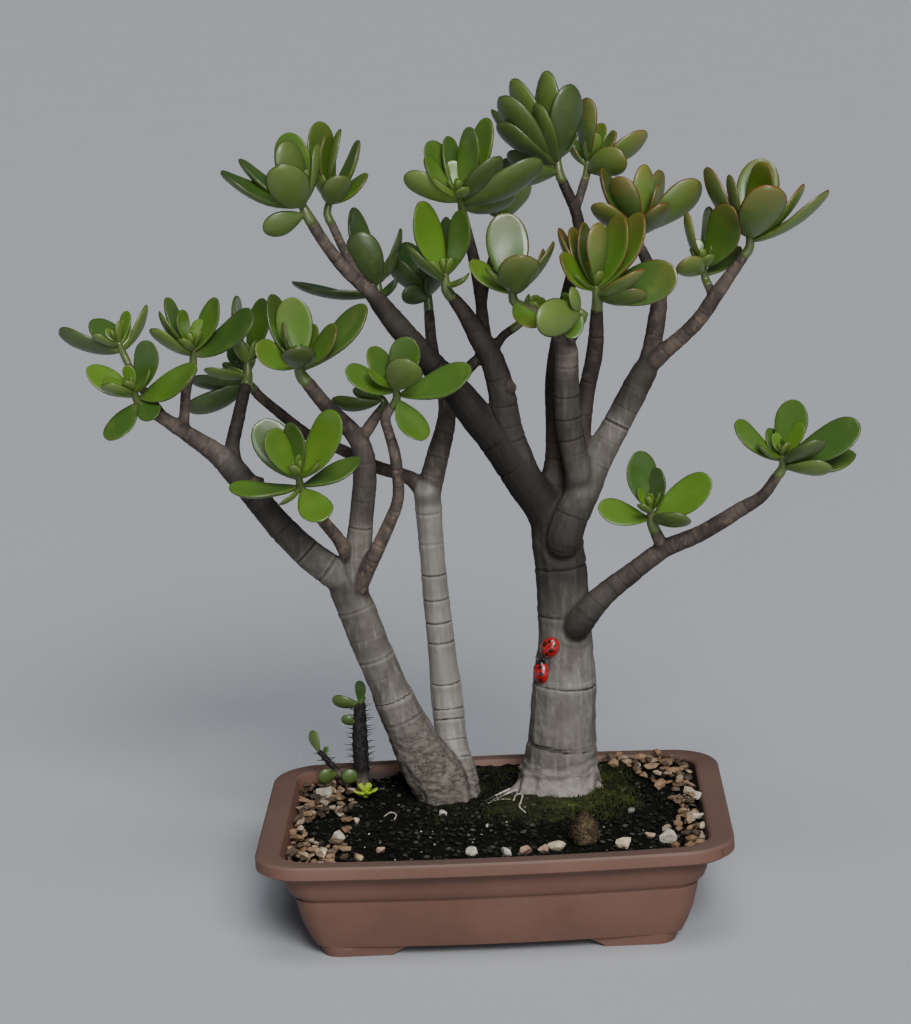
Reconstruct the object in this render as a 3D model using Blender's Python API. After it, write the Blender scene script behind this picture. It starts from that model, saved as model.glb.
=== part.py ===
"""Potted jade plant: two branching trees of one kind in a low brown tray, with their leafy shoots,
gravel, moss, two thorny seedlings and two ladybird ornaments on the right trunk."""
import math
import random

import bmesh
import bpy
from mathutils import Matrix, Vector

# Routes and sizes below are in millimetres; MM turns them into metres.
MM = 0.001
GAP = 0.3

# The tray: an outer rim of 300 mm is the driving size.
RIM_LENGTH = 300.0
RIM_WIDTH = 213.6
TRAY_HEIGHT = 68.6
SIDE_BOW = 7.0
CORNER_RADIUS = 30.0
SHORT_SIDE_TAPER = 0.74
FOOT_HEIGHT = 7.0
FLOOR_THICKNESS = 6.0
WALL_THICKNESS = 3.6
FOOT_LENGTH = 45.0
FOOT_WIDTH = 40.0
FOOT_FLARE = 14.0
FOOT_CORNER = (111.3, 82.3)
DRAIN_RADIUS = 5.0
DRAIN_PLACES = ((-60.0, 0.0), (60.0, 0.0))

# Insets from the rim's edge, with their heights, down the outside and then up the inside.
OUTER_WALL = ((7.0, 34.0), (14.0, 30.5), (24.0, 26.6), (35.0, 23.8), (45.5, 22.3), (46.0, 24.0),
              (47.5, 24.0), (48.0, 21.5), (55.0, 14.8), (59.4, 16.0), (59.6, 1.5), (61.0, 0.0),
              (67.4, 0.0), (68.6, 1.2))
RIM_FLAT = 14.75
SOIL_TOP = 58.0
BED_TOP = 60.2

# Limbs are hand-chosen routes of (x, y, z, radius); each one starts inside the limb it grew from.
LEFT_TREE = {
    "trunk": [(-33, 55, 42, 22), (-34, 55, 63, 21.5), (-39, 55, 74, 20.5), (-46, 55, 85, 18),
              (-53, 55, 100, 15.5), (-64, 55, 127, 13.5), (-69, 55, 141, 12.5), (-79, 55, 169, 12.5),
              (-87, 55, 194, 12.5), (-93, 55, 207, 11.5)],
    "outer": [(-88, 55, 197, 11), (-95, 54, 212, 11), (-114, 52, 229, 10), (-133, 52, 250, 9),
              (-148, 52, 271, 8.5), (-160, 52, 288, 8.5), (-172, 51, 301, 7), (-187, 49, 313, 5.5),
              (-205, 47, 327, 4.5), (-214, 46, 334, 3.5)],
    "outer_back": [(-201, 48, 324, 3), (-212, 56, 337, 3), (-222, 64, 349, 3), (-227, 72, 358, 2.5)],
    "outer_up": [(-191, 49, 317, 4), (-190, 54, 329, 3.5), (-189, 62, 341, 3.5), (-186, 72, 352, 3)],
    "middle_up": [(-157, 52, 285, 5.5), (-161, 57, 301, 5), (-157, 66, 319, 4.5), (-152, 84, 339, 4)],
    "stub": [(-158, 52, 287, 6), (-150, 50, 280, 6), (-142, 48, 278, 5)],
    "inner": [(-88, 55, 197, 11), (-86, 54, 211, 10), (-82, 52, 231, 9), (-79, 50, 252, 8),
              (-75, 46, 279, 8), (-75, 43, 299, 7), (-81, 41, 312, 6), (-97, 38, 331, 5),
              (-108, 36, 347, 4.5)],
    "inner_twig": [(-76, 43, 306, 4), (-69, 40, 316, 4), (-62, 38, 326, 3)],
    "inner_front": [(-88, 53, 224, 5.5), (-94, 42, 241, 4.5), (-103, 28, 258, 4), (-112, 13, 279, 3)],
    "front": [(-88, 55, 197, 8), (-81, 48, 210, 5.5), (-73, 42, 226, 5), (-61, 35, 250, 4.5),
              (-53, 29, 270, 4), (-53, 24, 296, 4), (-56, 21, 313, 3.5), (-58, 19, 324, 3.5),
              (-53, 18, 332, 3)],
    "second": [(-30, 66, 50, 13.5), (-29, 70, 72, 11.5), (-30, 76, 92, 10.5), (-30, 80, 119, 11),
               (-32, 81, 154, 9.5), (-34, 82, 190, 9), (-35, 83, 215, 8.5), (-36, 84, 249, 9),
               (-36, 84, 263, 9.5)],
    "second_up": [(-36, 84, 257, 8.5), (-32, 86, 272, 8), (-27, 90, 288, 7.5), (-22, 94, 304, 6.5),
                  (-21, 98, 320, 5.5), (-26, 103, 337, 4.5), (-29, 109, 357, 4),
                  (-30, 117, 378, 3.5)],
    "second_left": [(-37, 84, 257, 6.5), (-44, 87, 268, 5.5), (-54, 90, 273, 4.5),
                    (-70, 94, 278, 4.5), (-93, 98, 290, 4), (-113, 101, 299, 4),
                    (-143, 104, 325, 3.5), (-149, 105, 332, 3.5)],
}
RIGHT_TREE = {
    "trunk": [(40, 53, 42, 29), (42, 53, 61, 28), (43, 53, 71, 25.5), (45, 53, 88, 23.5),
              (47, 53, 109, 22), (49, 53, 136, 21), (51, 53, 164, 18), (51, 53, 184, 17.5),
              (50, 53, 212, 17), (48, 53, 235, 16.5), (46, 53, 250, 15)],
    "left_limb": [(48, 53, 236, 15), (42, 52, 252, 13.5), (30, 51, 271, 12.5), (12, 50, 300, 11.5),
                  (0, 50, 316, 11), (-12, 50, 333, 10), (-29, 50, 354, 8.5), (-47, 50, 377, 7.5),
                  (-60, 50, 395, 6.5)],
    "left_tip_a": [(-56, 50, 390, 6.5), (-67, 48, 404, 5), (-80, 45, 418, 4.5), (-91, 43, 434, 4),
                   (-99, 41, 449, 4)],
    "left_tip_b": [(-56, 50, 390, 6), (-66, 55, 402, 4), (-75, 58, 415, 3), (-82, 60, 431, 3),
                   (-88, 61, 446, 3)],
    "left_back": [(-48, 50, 378, 4), (-54, 68, 380, 3.5), (-60, 90, 390, 3.5)],
    "left_cross": [(-14, 50, 336, 4), (-6, 48, 347, 4), (8, 45, 360, 3.5)],
    "mid_limb": [(42, 52, 252, 13), (33, 50, 268, 11), (25, 50, 289, 10), (20, 49, 307, 9.5),
                 (17, 48, 330, 9), (12, 46, 353, 8), (4, 44, 369, 7), (-4, 42, 385, 5.5),
                 (-12, 40, 397, 4)],
    "mid_knob": [(18, 48, 330, 5), (23, 43, 338, 5)],
    "mid_up": [(10, 45, 356, 5), (7, 50, 373, 4.5), (6, 53, 392, 4), (4, 52, 412, 4),
               (-2, 46, 447, 3)],
    "mid_back": [(6, 53, 389, 4), (10, 70, 403, 3), (19, 96, 427, 3)],
    "mid_twig": [(12, 46, 359, 3.5), (19, 46, 369, 3), (26, 45, 374, 3)],
    "right_limb": [(50, 45, 226, 9), (53, 39, 237, 12), (58, 40, 250, 11.5), (66, 43, 265, 11),
                   (77, 48, 286, 10), (90, 51, 307, 9), (102, 55, 327, 9), (111, 58, 342, 8.5)],
    "right_left": [(107, 56, 333, 8), (114, 60, 352, 6), (119, 64, 372, 6), (121, 70, 391, 5),
                   (111, 80, 418, 3.5)],
    "right_right": [(109, 57, 340, 6.5), (121, 55, 351, 5.5), (144, 53, 371, 5), (156, 52, 387, 5),
                    (176, 50, 414, 3.5)],
    "right_side": [(156, 52, 387, 4), (153, 59, 394, 3)],
    "front_limb": [(62, 46, 258, 10), (66, 44, 273, 10.5), (62, 41, 290, 8.5), (59, 38, 314, 8.5),
                   (59, 35, 341, 8), (59, 31, 364, 7), (50, 27, 378, 5), (32, 22, 392, 3.5)],
    "front_twig": [(59, 31, 362, 4.5), (69, 22, 380, 3)],
    "behind_right": [(65, 46, 279, 6), (68, 50, 305, 5.5), (72, 50, 331, 5.5), (78, 44, 358, 5.5),
                     (80, 30, 387, 4)],
    "behind_left": [(46, 57, 262, 9), (50, 62, 284, 7.5), (50, 68, 305, 6), (50, 74, 334, 5),
                    (55, 78, 360, 5), (63, 80, 392, 4.5), (70, 80, 418, 4), (71, 80, 439, 4),
                    (62, 80, 464, 3.5)],
    "behind_side": [(71, 80, 447, 3), (77, 102, 461, 3)],
    "low_limb": [(55, 47, 170, 8.5), (60, 38, 179, 9), (78, 40, 198, 7.5), (117, 40, 225, 6),
                 (141, 38, 235, 5.5), (167, 36, 250, 5), (182, 35, 259, 4), (192, 35, 272, 3.5)],
    "low_twig": [(117, 40, 225, 4.5), (112, 36, 239, 4)],
}
TREES = {"left_tree": LEFT_TREE, "right_tree": RIGHT_TREE}
TRUNK_RUNS = {"left_tree": ("trunk", "second"), "right_tree": ("trunk",)}

# Each shoot: the limb that ends in it, the way it leans (turn, tilt) and its leaves as (turn, rise,
# length, twist). Turn 0 is +X and 90 is away from the viewer; rise is from the plane across the
# shoot; twist is about the leaf; angles are in degrees. Its leaves meet beyond the limb's end.
SHOOTS = {
    "leaves_left_end": ("left_tree", "outer", (250, 35),
        [(145, 30, 38, 15), (35, 50, 38, 10), (355, 20, 49, 0), (300, 5, 26, 10),
         (225, -10, 33, -5), (225, 55, 30, 25)]),
    "leaves_left_end_back": ("left_tree", "outer_back", (200, 20),
        [(165, 35, 45, 50), (115, 35, 37, 20), (55, 50, 20, 25), (30, 35, 35, -25)]),
    "leaves_left_upper": ("left_tree", "outer_up", (270, 15),
        [(125, 50, 42, 40), (195, 60, 37, 5), (140, 75, 28, 20), (40, 55, 40, -10),
         (355, 35, 53, 25), (210, 45, 37, 20)]),
    "leaves_left_middle": ("left_tree", "middle_up", (90, 20),
        [(230, 80, 45, -60), (355, 75, 45, 40), (215, 5, 32, 5), (160, 20, 15, 30)]),
    "leaves_left_behind": ("left_tree", "second_left", (120, 30),
        [(195, 15, 38, 5), (170, -5, 45, 20), (195, 80, 23, -60)]),
    "leaves_inner_top": ("left_tree", "inner", (250, 25),
        [(185, 45, 33, -30), (80, 60, 44, 5), (125, 80, 29, 60), (285, 50, 39, -15),
         (0, 40, 40, 10), (25, 25, 60, -5), (105, 45, 52, 55), (65, 30, 33, -25)]),
    "leaves_inner_front": ("left_tree", "front", (260, 25),
        [(175, 35, 36, -15), (115, 35, 35, 20), (305, 55, 42, -45), (40, 60, 35, 30),
         (0, 15, 52, 5), (300, -30, 34, -10)]),
    "leaves_inner_dark": ("left_tree", "inner_twig", (180, 40),
        [(160, 35, 35, 45), (120, 40, 25, 30)]),
    "leaves_inner_low": ("left_tree", "inner_front", (265, 30),
        [(130, 40, 47, -15), (145, 60, 38, 5), (95, 60, 37, -55), (30, 50, 52, 15),
         (25, 5, 43, -20), (180, 5, 46, 15), (245, 15, 26, 50), (295, 0, 37, 10)]),
    "leaves_arch_left": ("right_tree", "left_tip_a", (160, 25),
        [(210, 45, 58, -35), (160, 60, 51, 5), (270, 35, 49, 0), (290, 60, 45, 20),
         (20, 75, 45, 55), (195, 5, 30, 45), (355, 50, 41, 5)]),
    "leaves_arch_right": ("right_tree", "left_tip_b", (0, 15),
        [(140, 65, 53, 0), (230, 70, 46, -60), (130, 85, 45, 50), (50, 70, 44, -30),
         (10, 50, 32, 15), (280, 45, 33, 15)]),
    "leaves_arch_back": ("right_tree", "left_back", (100, 20),
        [(215, 75, 52, -60), (250, 50, 42, 15), (340, 60, 40, 25), (170, 15, 60, -5),
         (300, 5, 26, 55)]),
    "leaves_second_top": ("left_tree", "second_up", (90, 15),
        [(205, 40, 34, 25), (225, 10, 23, 60), (155, 65, 37, -20), (290, 30, 36, 25),
         (40, 85, 34, 0)]),
    "leaves_centre_low": ("right_tree", "mid_limb", (260, 10),
        [(160, 75, 51, -15), (210, 50, 38, -5), (355, 70, 46, 35), (85, 55, 42, -60),
         (310, 25, 24, 20)]),
    "leaves_centre_top": ("right_tree", "mid_up", (260, 25),
        [(185, 40, 42, 60), (120, 45, 44, 20), (185, 60, 38, -5), (50, 65, 46, -15),
         (55, 45, 56, -25), (340, 50, 45, -40), (0, 25, 60, -60), (95, 40, 45, 60),
         (25, -10, 38, -60)]),
    "leaves_crown": ("right_tree", "behind_left", (100, 15),
        [(205, 35, 49, 5), (220, 45, 60, -5), (190, 65, 60, 15), (255, 80, 56, -45),
         (290, 55, 54, 25), (255, 45, 48, -50), (170, 45, 57, -10), (165, 20, 36, 25),
         (215, -5, 35, 25)]),
    "leaves_crown_right": ("right_tree", "behind_side", (60, 15),
        [(155, 45, 22, 20), (260, 65, 44, -45), (45, 70, 29, -5), (320, 45, 31, 60),
         (310, 15, 37, -45), (0, 35, 46, -20)]),
    "leaves_right_back": ("right_tree", "right_left", (80, 20),
        [(215, 50, 47, -55), (245, 45, 42, -20), (295, 75, 40, 25), (305, 50, 34, 50),
         (225, 20, 42, 5), (335, 35, 53, -15), (295, 20, 39, 15), (25, 65, 43, -50)]),
    "leaves_right_front": ("right_tree", "behind_right", (260, 20),
        [(195, 55, 37, -25), (110, 45, 46, 45), (100, 60, 44, 55), (5, 85, 44, -40),
         (45, 55, 51, -15), (35, 45, 58, -10), (355, 15, 54, 50), (325, 35, 43, -15),
         (340, 10, 34, -60), (120, 40, 50, 55)]),
    "leaves_right_droop": ("right_tree", "front_twig", (200, 60),
        [(250, 50, 33, 55), (220, 15, 20, -55)]),
    "leaves_centre_front": ("right_tree", "front_limb", (265, 15),
        [(95, 55, 46, 0), (280, 55, 40, -10), (155, 35, 35, 0), (30, 40, 42, -40),
         (50, 30, 38, -60)]),
    "leaves_right_side": ("right_tree", "right_side", (250, 20),
        [(335, 60, 52, 60), (145, 80, 38, 45), (235, 40, 31, 50), (35, 15, 32, -10),
         (70, 50, 42, -45)]),
    "leaves_right_end": ("right_tree", "right_right", (260, 10),
        [(290, 50, 57, -15), (350, 75, 48, 50), (60, 60, 51, 25), (175, 75, 41, 10),
         (25, 35, 51, -30), (0, 30, 60, -20), (135, 50, 54, 55)]),
    "leaves_low_end": ("right_tree", "low_limb", (260, 25),
        [(165, 45, 41, 0), (105, 35, 25, 30), (60, 50, 40, -5), (330, 40, 38, -45),
         (10, 20, 56, 15), (15, -5, 50, -5), (335, 10, 34, -60)]),
    "leaves_low_side": ("right_tree", "low_twig", (260, 20),
        [(175, 20, 36, -15), (105, 65, 41, 20), (0, 75, 32, 25), (5, 30, 47, 30),
         (320, 20, 32, -55)]),
    "leaves_centre_back": ("right_tree", "mid_back", (90, 20),
        [(335, 80, 39, 60), (315, 45, 36, 5), (190, 60, 19, 55), (310, 10, 16, -35)]),
    "leaves_centre_small": ("right_tree", "mid_twig", (0, 40),
        [(70, 65, 19, -20), (340, 40, 17, 40)]),
}
SHOOT_RISE = 12.0
SHOOT_REACH = 6.0
LEAF_WIDTH = 0.60
LEAF_THICKNESS = 0.11
LEAF_ROOT = 1.6
LEAF_SIDES = 4
LARGE_LEAF = 50.0

COLOURS = {
    "tray": ((0.17, 0.085, 0.062), 0.55, 0.0),
    "soil": ((0.020, 0.019, 0.016), 0.95, 0.0),
    "gravel": ((0.42, 0.28, 0.19), 0.80, 0.0),
    "moss": ((0.045, 0.050, 0.020), 0.95, 0.0),
    "bark": ((0.16, 0.145, 0.125), 0.70, 0.0),
    "leaf": ((0.090, 0.200, 0.030), 0.35, 0.0),
    "thorn": ((0.030, 0.025, 0.020), 0.75, 0.0),
    "ladybird": ((0.45, 0.012, 0.010), 0.30, 0.0),
}

for old in list(bpy.data.objects):
    bpy.data.objects.remove(old, do_unlink=True)
PARTS = bpy.data.collections.new("potted_jade_plant")
CUTTERS = bpy.data.collections.new("cutters")
bpy.context.scene.collection.children.link(PARTS)
bpy.context.scene.collection.children.link(CUTTERS)


def material(name):
    """A Principled material in one of the colours seen on the plant."""
    made = bpy.data.materials.get(name)
    if made is None:
        colour, roughness, metallic = COLOURS[name]
        made = bpy.data.materials.new(name)
        made.use_nodes = True
        shader = made.node_tree.nodes["Principled BSDF"]
        shader.inputs["Base Color"].default_value = (*colour, 1.0)
        shader.inputs["Roughness"].default_value = roughness
        shader.inputs["Metallic"].default_value = metallic
    return made


def object_of(name, mesh, collection):
    """A new object that holds the mesh, in the given collection."""
    made = bpy.data.objects.new(name, mesh)
    collection.objects.link(made)
    return made


def mesh_of(name, bm):
    """The bmesh as a mesh in metres, with its faces pointing out."""
    bm.normal_update()
    bmesh.ops.recalc_face_normals(bm, faces=bm.faces)
    if bm.calc_volume(signed=True) < 0.0:
        bmesh.ops.reverse_faces(bm, faces=bm.faces)
    bmesh.ops.scale(bm, vec=(MM, MM, MM), verts=bm.verts)
    mesh = bpy.data.meshes.new(name)
    bm.to_mesh(mesh)
    bm.free()
    return mesh


def finish(made, colour):
    """Give a finished piece its material and smooth shading up to sharp edges."""
    made.data.materials.clear()
    made.data.materials.append(material(colour))
    made.data.shade_smooth()
    made.data.set_sharp_from_angle(angle=math.radians(40))
    return made


def evaluated_mesh(made):
    """A plain mesh of the object as it is evaluated."""
    graph = bpy.context.evaluated_depsgraph_get()
    return bpy.data.meshes.new_from_object(made.evaluated_get(graph))


def keep_largest_body(mesh):
    """Drop loose scraps, flaps and sealed hollows, so that the largest body is left alone."""
    bm = bmesh.new()
    bm.from_mesh(mesh)
    bmesh.ops.triangulate(bm, faces=bm.faces)
    unseen = set(bm.faces)
    bodies = []
    while unseen:
        body = [unseen.pop()]
        for face in body:
            plain_edges = [edge for edge in face.edges if len(edge.link_faces) == 2]
            for other in {other for edge in plain_edges for other in edge.link_faces} & unseen:
                unseen.remove(other)
                body.append(other)
        bodies.append(body)
    bodies.sort(key=len, reverse=True)
    bmesh.ops.delete(bm, geom=[face for body in bodies[1:] for face in body], context="FACES")
    bm.to_mesh(mesh)
    bm.free()


def fuse(name, pieces, colour, operation="UNION", base=None):
    """One Boolean of the pieces into the first one or the given base, applied and cleared away."""
    group = bpy.data.collections.new(name + "_pieces")
    bpy.context.scene.collection.children.link(group)
    base = base or pieces.pop(0)
    for piece in pieces:
        for holder in list(piece.users_collection):
            holder.objects.unlink(piece)
        group.objects.link(piece)
    boolean = base.modifiers.new("join", "BOOLEAN")
    boolean.operation = operation
    boolean.operand_type = "COLLECTION"
    boolean.collection = group
    boolean.solver = "MANIFOLD"
    mesh = evaluated_mesh(base)
    keep_largest_body(mesh)
    for piece in list(group.objects) + [base]:
        bpy.data.objects.remove(piece, do_unlink=True)
    bpy.data.collections.remove(group)
    mesh.name = name
    return finish(object_of(name, mesh, PARTS), colour)


def tube(name, route, sides=8, grow=0.0):
    """A closed tube along a route of (x, y, z, radius), from a bevelled curve with its caps welded."""
    curve = bpy.data.curves.new(name, "CURVE")
    curve.dimensions = "3D"
    curve.bevel_depth = MM
    curve.bevel_resolution = sides // 2 - 2
    curve.use_fill_caps = True
    spline = curve.splines.new("POLY")
    spline.points.add(len(route) - 1)
    for point, (x, y, z, radius) in zip(spline.points, route):
        point.co = (x * MM, y * MM, z * MM, 1.0)
        point.radius = radius + grow
    guide = object_of(name, curve, CUTTERS)
    bpy.context.view_layer.update()
    mesh = evaluated_mesh(guide)
    bpy.data.objects.remove(guide, do_unlink=True)
    bpy.data.curves.remove(curve)
    bm = bmesh.new()
    bm.from_mesh(mesh)
    bmesh.ops.remove_doubles(bm, verts=bm.verts, dist=0.00001)
    bmesh.ops.recalc_face_normals(bm, faces=bm.faces)
    bm.to_mesh(mesh)
    bm.free()
    return object_of(name, mesh, CUTTERS)


def limb_sides(route):
    """How many sides a limb gets for its thickness."""
    widest = max(point[3] for point in route)
    return 10 if widest > 12.0 else 6


def tray_ring(inset, height, clearance=0.0):
    """One level of the tray: a rounded rectangle with bowed long sides, inset from the rim's edge."""
    half_x = RIM_LENGTH / 2 - inset - clearance
    half_y = RIM_WIDTH / 2 - inset * SHORT_SIDE_TAPER - clearance
    radius = max(CORNER_RADIUS - 0.6 * inset, 10.0)
    corner_steps = 3
    side_steps = 4
    ring = []
    for quarter in range(4):
        side_x = 1 if quarter in (0, 3) else -1
        side_y = 1 if quarter in (0, 1) else -1
        for step in range(corner_steps + 1):
            angle = math.radians(90.0 * (quarter + step / corner_steps))
            x = side_x * (half_x - radius) + radius * math.cos(angle)
            y = side_y * (half_y - radius) + radius * math.sin(angle)
            ring.append((x, y))
        if quarter in (0, 2):
            for step in range(1, side_steps):
                x = side_x * (half_x - radius) * (1.0 - 2.0 * step / side_steps)
                ring.append((x, side_y * half_y))
    bowed = []
    for x, y in ring:
        bow = SIDE_BOW * max(0.0, 1.0 - (x / half_x) ** 2) * y / half_y
        bowed.append((x, y + bow, height))
    return bowed


def loft(name, rings, collection):
    """A closed solid drawn up through rings of equal length, with flat ends."""
    bm = bmesh.new()
    levels = [[bm.verts.new(place) for place in ring] for ring in rings]
    for low, high in zip(levels, levels[1:]):
        for i in range(len(low)):
            j = (i + 1) % len(low)
            bm.faces.new((low[i], low[j], high[j], high[i]))
    bm.faces.new(reversed(levels[0]))
    bm.faces.new(levels[-1])
    return object_of(name, mesh_of(name, bm), collection)


def inner_wall():
    """Insets and heights of the tray's inside, from the rim's flat down to the floor."""
    floor_top = FOOT_HEIGHT + FLOOR_THICKNESS
    outside = [level for level in OUTER_WALL if floor_top < level[0] <= 45.5]
    wall = [(height, inset + WALL_THICKNESS) for height, inset in reversed(outside)]
    corner = (floor_top, OUTER_WALL[1][1] + WALL_THICKNESS + 1.0)
    lip = [(TRAY_HEIGHT, RIM_FLAT), (TRAY_HEIGHT - 1.2, RIM_FLAT + 1.2), (SOIL_TOP, 18.6)]
    return lip + wall + [corner]


def foot(side_x, side_y):
    """A corner foot whose inner sides spread in a soft curve up to the tray's underside."""
    corner_x, corner_y = FOOT_CORNER
    top = FOOT_HEIGHT + 2.0
    steps = 4
    rings = []
    for step in range(steps + 1):
        share = step / steps
        spread = FOOT_FLARE * share * share * (3.0 - 2.0 * share)
        far_x = corner_x + 1.6 * share
        far_y = corner_y + 1.0 * share
        near_x = corner_x - FOOT_LENGTH - spread
        near_y = corner_y - FOOT_WIDTH - spread
        round_off = 12.0
        outline = [(near_x, near_y), (far_x, near_y)]
        for turn in range(4):
            angle = math.radians(30.0 * turn)
            outline.append((far_x - round_off + round_off * math.cos(angle),
                            far_y - round_off + round_off * math.sin(angle)))
        outline.append((near_x, far_y))
        rings.append([(side_x * x, side_y * y, top * share) for x, y in outline])
    return loft("foot", rings, CUTTERS)


def make_tray():
    """The brown tray with its rim, bands, floor, drain holes and four corner feet."""
    rings = [tray_ring(inset, height) for height, inset in OUTER_WALL]
    rings += [tray_ring(inset, height) for height, inset in inner_wall()]
    shell = loft("tray", rings, CUTTERS)
    feet = [foot(side_x, side_y) for side_x in (-1, 1) for side_y in (-1, 1)]
    tray = fuse("pot", feet, "tray", base=shell)
    drains = []
    for x, y in DRAIN_PLACES:
        drains.append(tube("drain", [(x, y, 0.0, DRAIN_RADIUS), (x, y, 30.0, DRAIN_RADIUS)], sides=12))
    return fuse("pot", drains, "tray", operation="DIFFERENCE", base=tray)


def stand_holes(clearance):
    """Cutters for the holes that the trunks and the seedlings stand in."""
    routes = [TREES[tree][run] for tree, runs in TRUNK_RUNS.items() for run in runs]
    routes += [seedling["stem"] for seedling in SEEDLINGS.values()]
    cutters = []
    for route in routes:
        foot_end, above = Vector(route[0][:3]), Vector(route[1][:3])
        below = foot_end - (above - foot_end).normalized() * clearance
        deeper = [(*below, route[0][3])] + route[1:5]
        cutters.append(tube("hole", deeper, sides=limb_sides(route), grow=clearance))
    return cutters


def make_soil():
    """Soil that fills the tray to just below its rim, with a plain hole for each stem."""
    levels = [level for level in inner_wall() if level[0] <= SOIL_TOP]
    rings = [tray_ring(inset, height, GAP + 0.15) for height, inset in levels]
    rings[-1] = tray_ring(levels[-1][1], levels[-1][0] + GAP, GAP + 0.15)
    block = loft("soil", list(reversed(rings)), CUTTERS)
    return fuse("soil", stand_holes(GAP), "soil", operation="DIFFERENCE", base=block)


# The bare middle of the bed, where soil and moss show, as a centre and half sizes.
BARE_CENTRE = (-4.0, 25.0)
BARE_HALF = (84.0, 84.0)
PEBBLE_COUNT = 46
PEBBLE_SIZES = (3.0, 4.8)
PEBBLE_SPACING = 9.4


def bare_share(x, y):
    """How far out from the bare middle a place lies: under 1 is inside it."""
    across = abs(x - BARE_CENTRE[0]) / BARE_HALF[0]
    along = abs(y - BARE_CENTRE[1]) / BARE_HALF[1]
    return (across ** 3 + along ** 3) ** (1 / 3)


def in_bed(x, y, margin):
    """Whether a place lies on the gravel bed, clear of the tray's wall by the margin."""
    half_x = RIM_LENGTH / 2 - 19.0 - margin
    half_y = RIM_WIDTH / 2 - 19.0 * SHORT_SIDE_TAPER - margin
    radius = 18.0
    over_x = max(abs(x) - (half_x - radius), 0.0)
    over_y = max(abs(y) - (half_y - radius), 0.0)
    inside = abs(x) < half_x and abs(y) < half_y and math.hypot(over_x, over_y) < radius
    return inside and bare_share(x, y) > 1.0 + margin / 80.0


def pebble(x, y, size, draw):
    """One sunken stone chip: a cube with its corners pressed in and turned at random."""
    bm = bmesh.new()
    bmesh.ops.create_cube(bm, size=1.5 * size)
    for vert in bm.verts:
        vert.co *= draw.uniform(0.8, 1.2)
    stretch = (draw.uniform(0.85, 1.25), draw.uniform(0.75, 1.05), draw.uniform(0.65, 0.9))
    bmesh.ops.scale(bm, vec=stretch, verts=bm.verts)
    turn = Matrix.Rotation(draw.uniform(0.0, math.tau), 4, "Z")
    tip = Matrix.Rotation(draw.uniform(-0.4, 0.4), 4, "X")
    lift = Matrix.Translation((x, y, BED_TOP + 0.15 * size))
    bmesh.ops.transform(bm, matrix=lift @ turn @ tip, verts=bm.verts)
    for vert in bm.verts:
        vert.co.z = max(vert.co.z, SOIL_TOP + 2.6 * GAP)
    return object_of("pebble", mesh_of("pebble", bm), CUTTERS)


def make_gravel():
    """A thin bed of gravel round the bare middle, with the pebbles sunk into it."""
    bed_low = SOIL_TOP + 2.0 * GAP
    outline = 18.9
    bed = loft("bed", [tray_ring(outline, bed_low, 0.6), tray_ring(outline, BED_TOP, 0.6)], CUTTERS)
    steps = 18
    bare = []
    for height in (bed_low - 5.0, BED_TOP + 12.0):
        ring = []
        for step in range(steps):
            angle = math.tau * step / steps
            reach_x = math.copysign(abs(math.cos(angle)) ** (2 / 3), math.cos(angle))
            reach_y = math.copysign(abs(math.sin(angle)) ** (2 / 3), math.sin(angle))
            x = BARE_CENTRE[0] + BARE_HALF[0] * reach_x
            y = BARE_CENTRE[1] + BARE_HALF[1] * reach_y
            ring.append((x, y, height))
        bare.append(ring)
    middle = loft("bare", bare, CUTTERS)
    bed = fuse("gravel", [middle] + stand_holes(GAP), "gravel", operation="DIFFERENCE", base=bed)
    draw = random.Random(11)
    placed = []
    pebbles = []
    stems = [seedling["stem"][0] for seedling in SEEDLINGS.values()] + [SPROUT_PLACE]
    for attempt in range(6000):
        x = draw.uniform(-RIM_LENGTH / 2, RIM_LENGTH / 2)
        y = draw.uniform(-RIM_WIDTH / 2, RIM_WIDTH / 2)
        size = draw.uniform(*PEBBLE_SIZES)
        near = any(math.hypot(x - a, y - b) < PEBBLE_SPACING for a, b in placed)
        at_stem = any(math.hypot(x - stem[0], y - stem[1]) < size * 1.3 + 5.5 for stem in stems)
        if near or at_stem or not in_bed(x, y, size * 1.3):
            continue
        placed.append((x, y))
        pebbles.append(pebble(x, y, size, draw))
        if len(placed) == PEBBLE_COUNT:
            break
    return fuse("gravel", pebbles, "gravel", base=bed)


MOSS_CENTRE = (30.0, 22.0)
MOSS_HALF = (42.0, 34.0, 6.5)
MOSS_BALL = ((57.0, -35.0), 7.5)


def cut_flat(bm, height):
    """Cut away what lies below a height and close the cut with one flat face."""
    whole = bm.verts[:] + bm.edges[:] + bm.faces[:]
    bmesh.ops.bisect_plane(bm, geom=whole, plane_co=(0, 0, height), plane_no=(0, 0, 1), clear_inner=True)
    bmesh.ops.holes_fill(bm, edges=[edge for edge in bm.edges if edge.is_boundary])


def dome(name, centre, half, sides, collection):
    """The upper part of a flattened ball, cut flat just above the soil."""
    low = SOIL_TOP + 2.0 * GAP
    bm = bmesh.new()
    bmesh.ops.create_uvsphere(bm, u_segments=sides, v_segments=8, radius=1.0)
    bmesh.ops.scale(bm, vec=half, verts=bm.verts)
    bmesh.ops.translate(bm, vec=(centre[0], centre[1], low), verts=bm.verts)
    cut_flat(bm, low)
    return object_of(name, mesh_of(name, bm), collection)


def make_moss():
    """The low moss mound round the right trunk and the small round tuft in front of it."""
    mound = dome("mound", MOSS_CENTRE, MOSS_HALF, 20, CUTTERS)
    fuse("moss", stand_holes(GAP), "moss", operation="DIFFERENCE", base=mound)
    (x, y), radius = MOSS_BALL
    finish(dome("moss_tuft", (x, y), (radius, radius, radius * 1.1), 10, PARTS), "moss")


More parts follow.
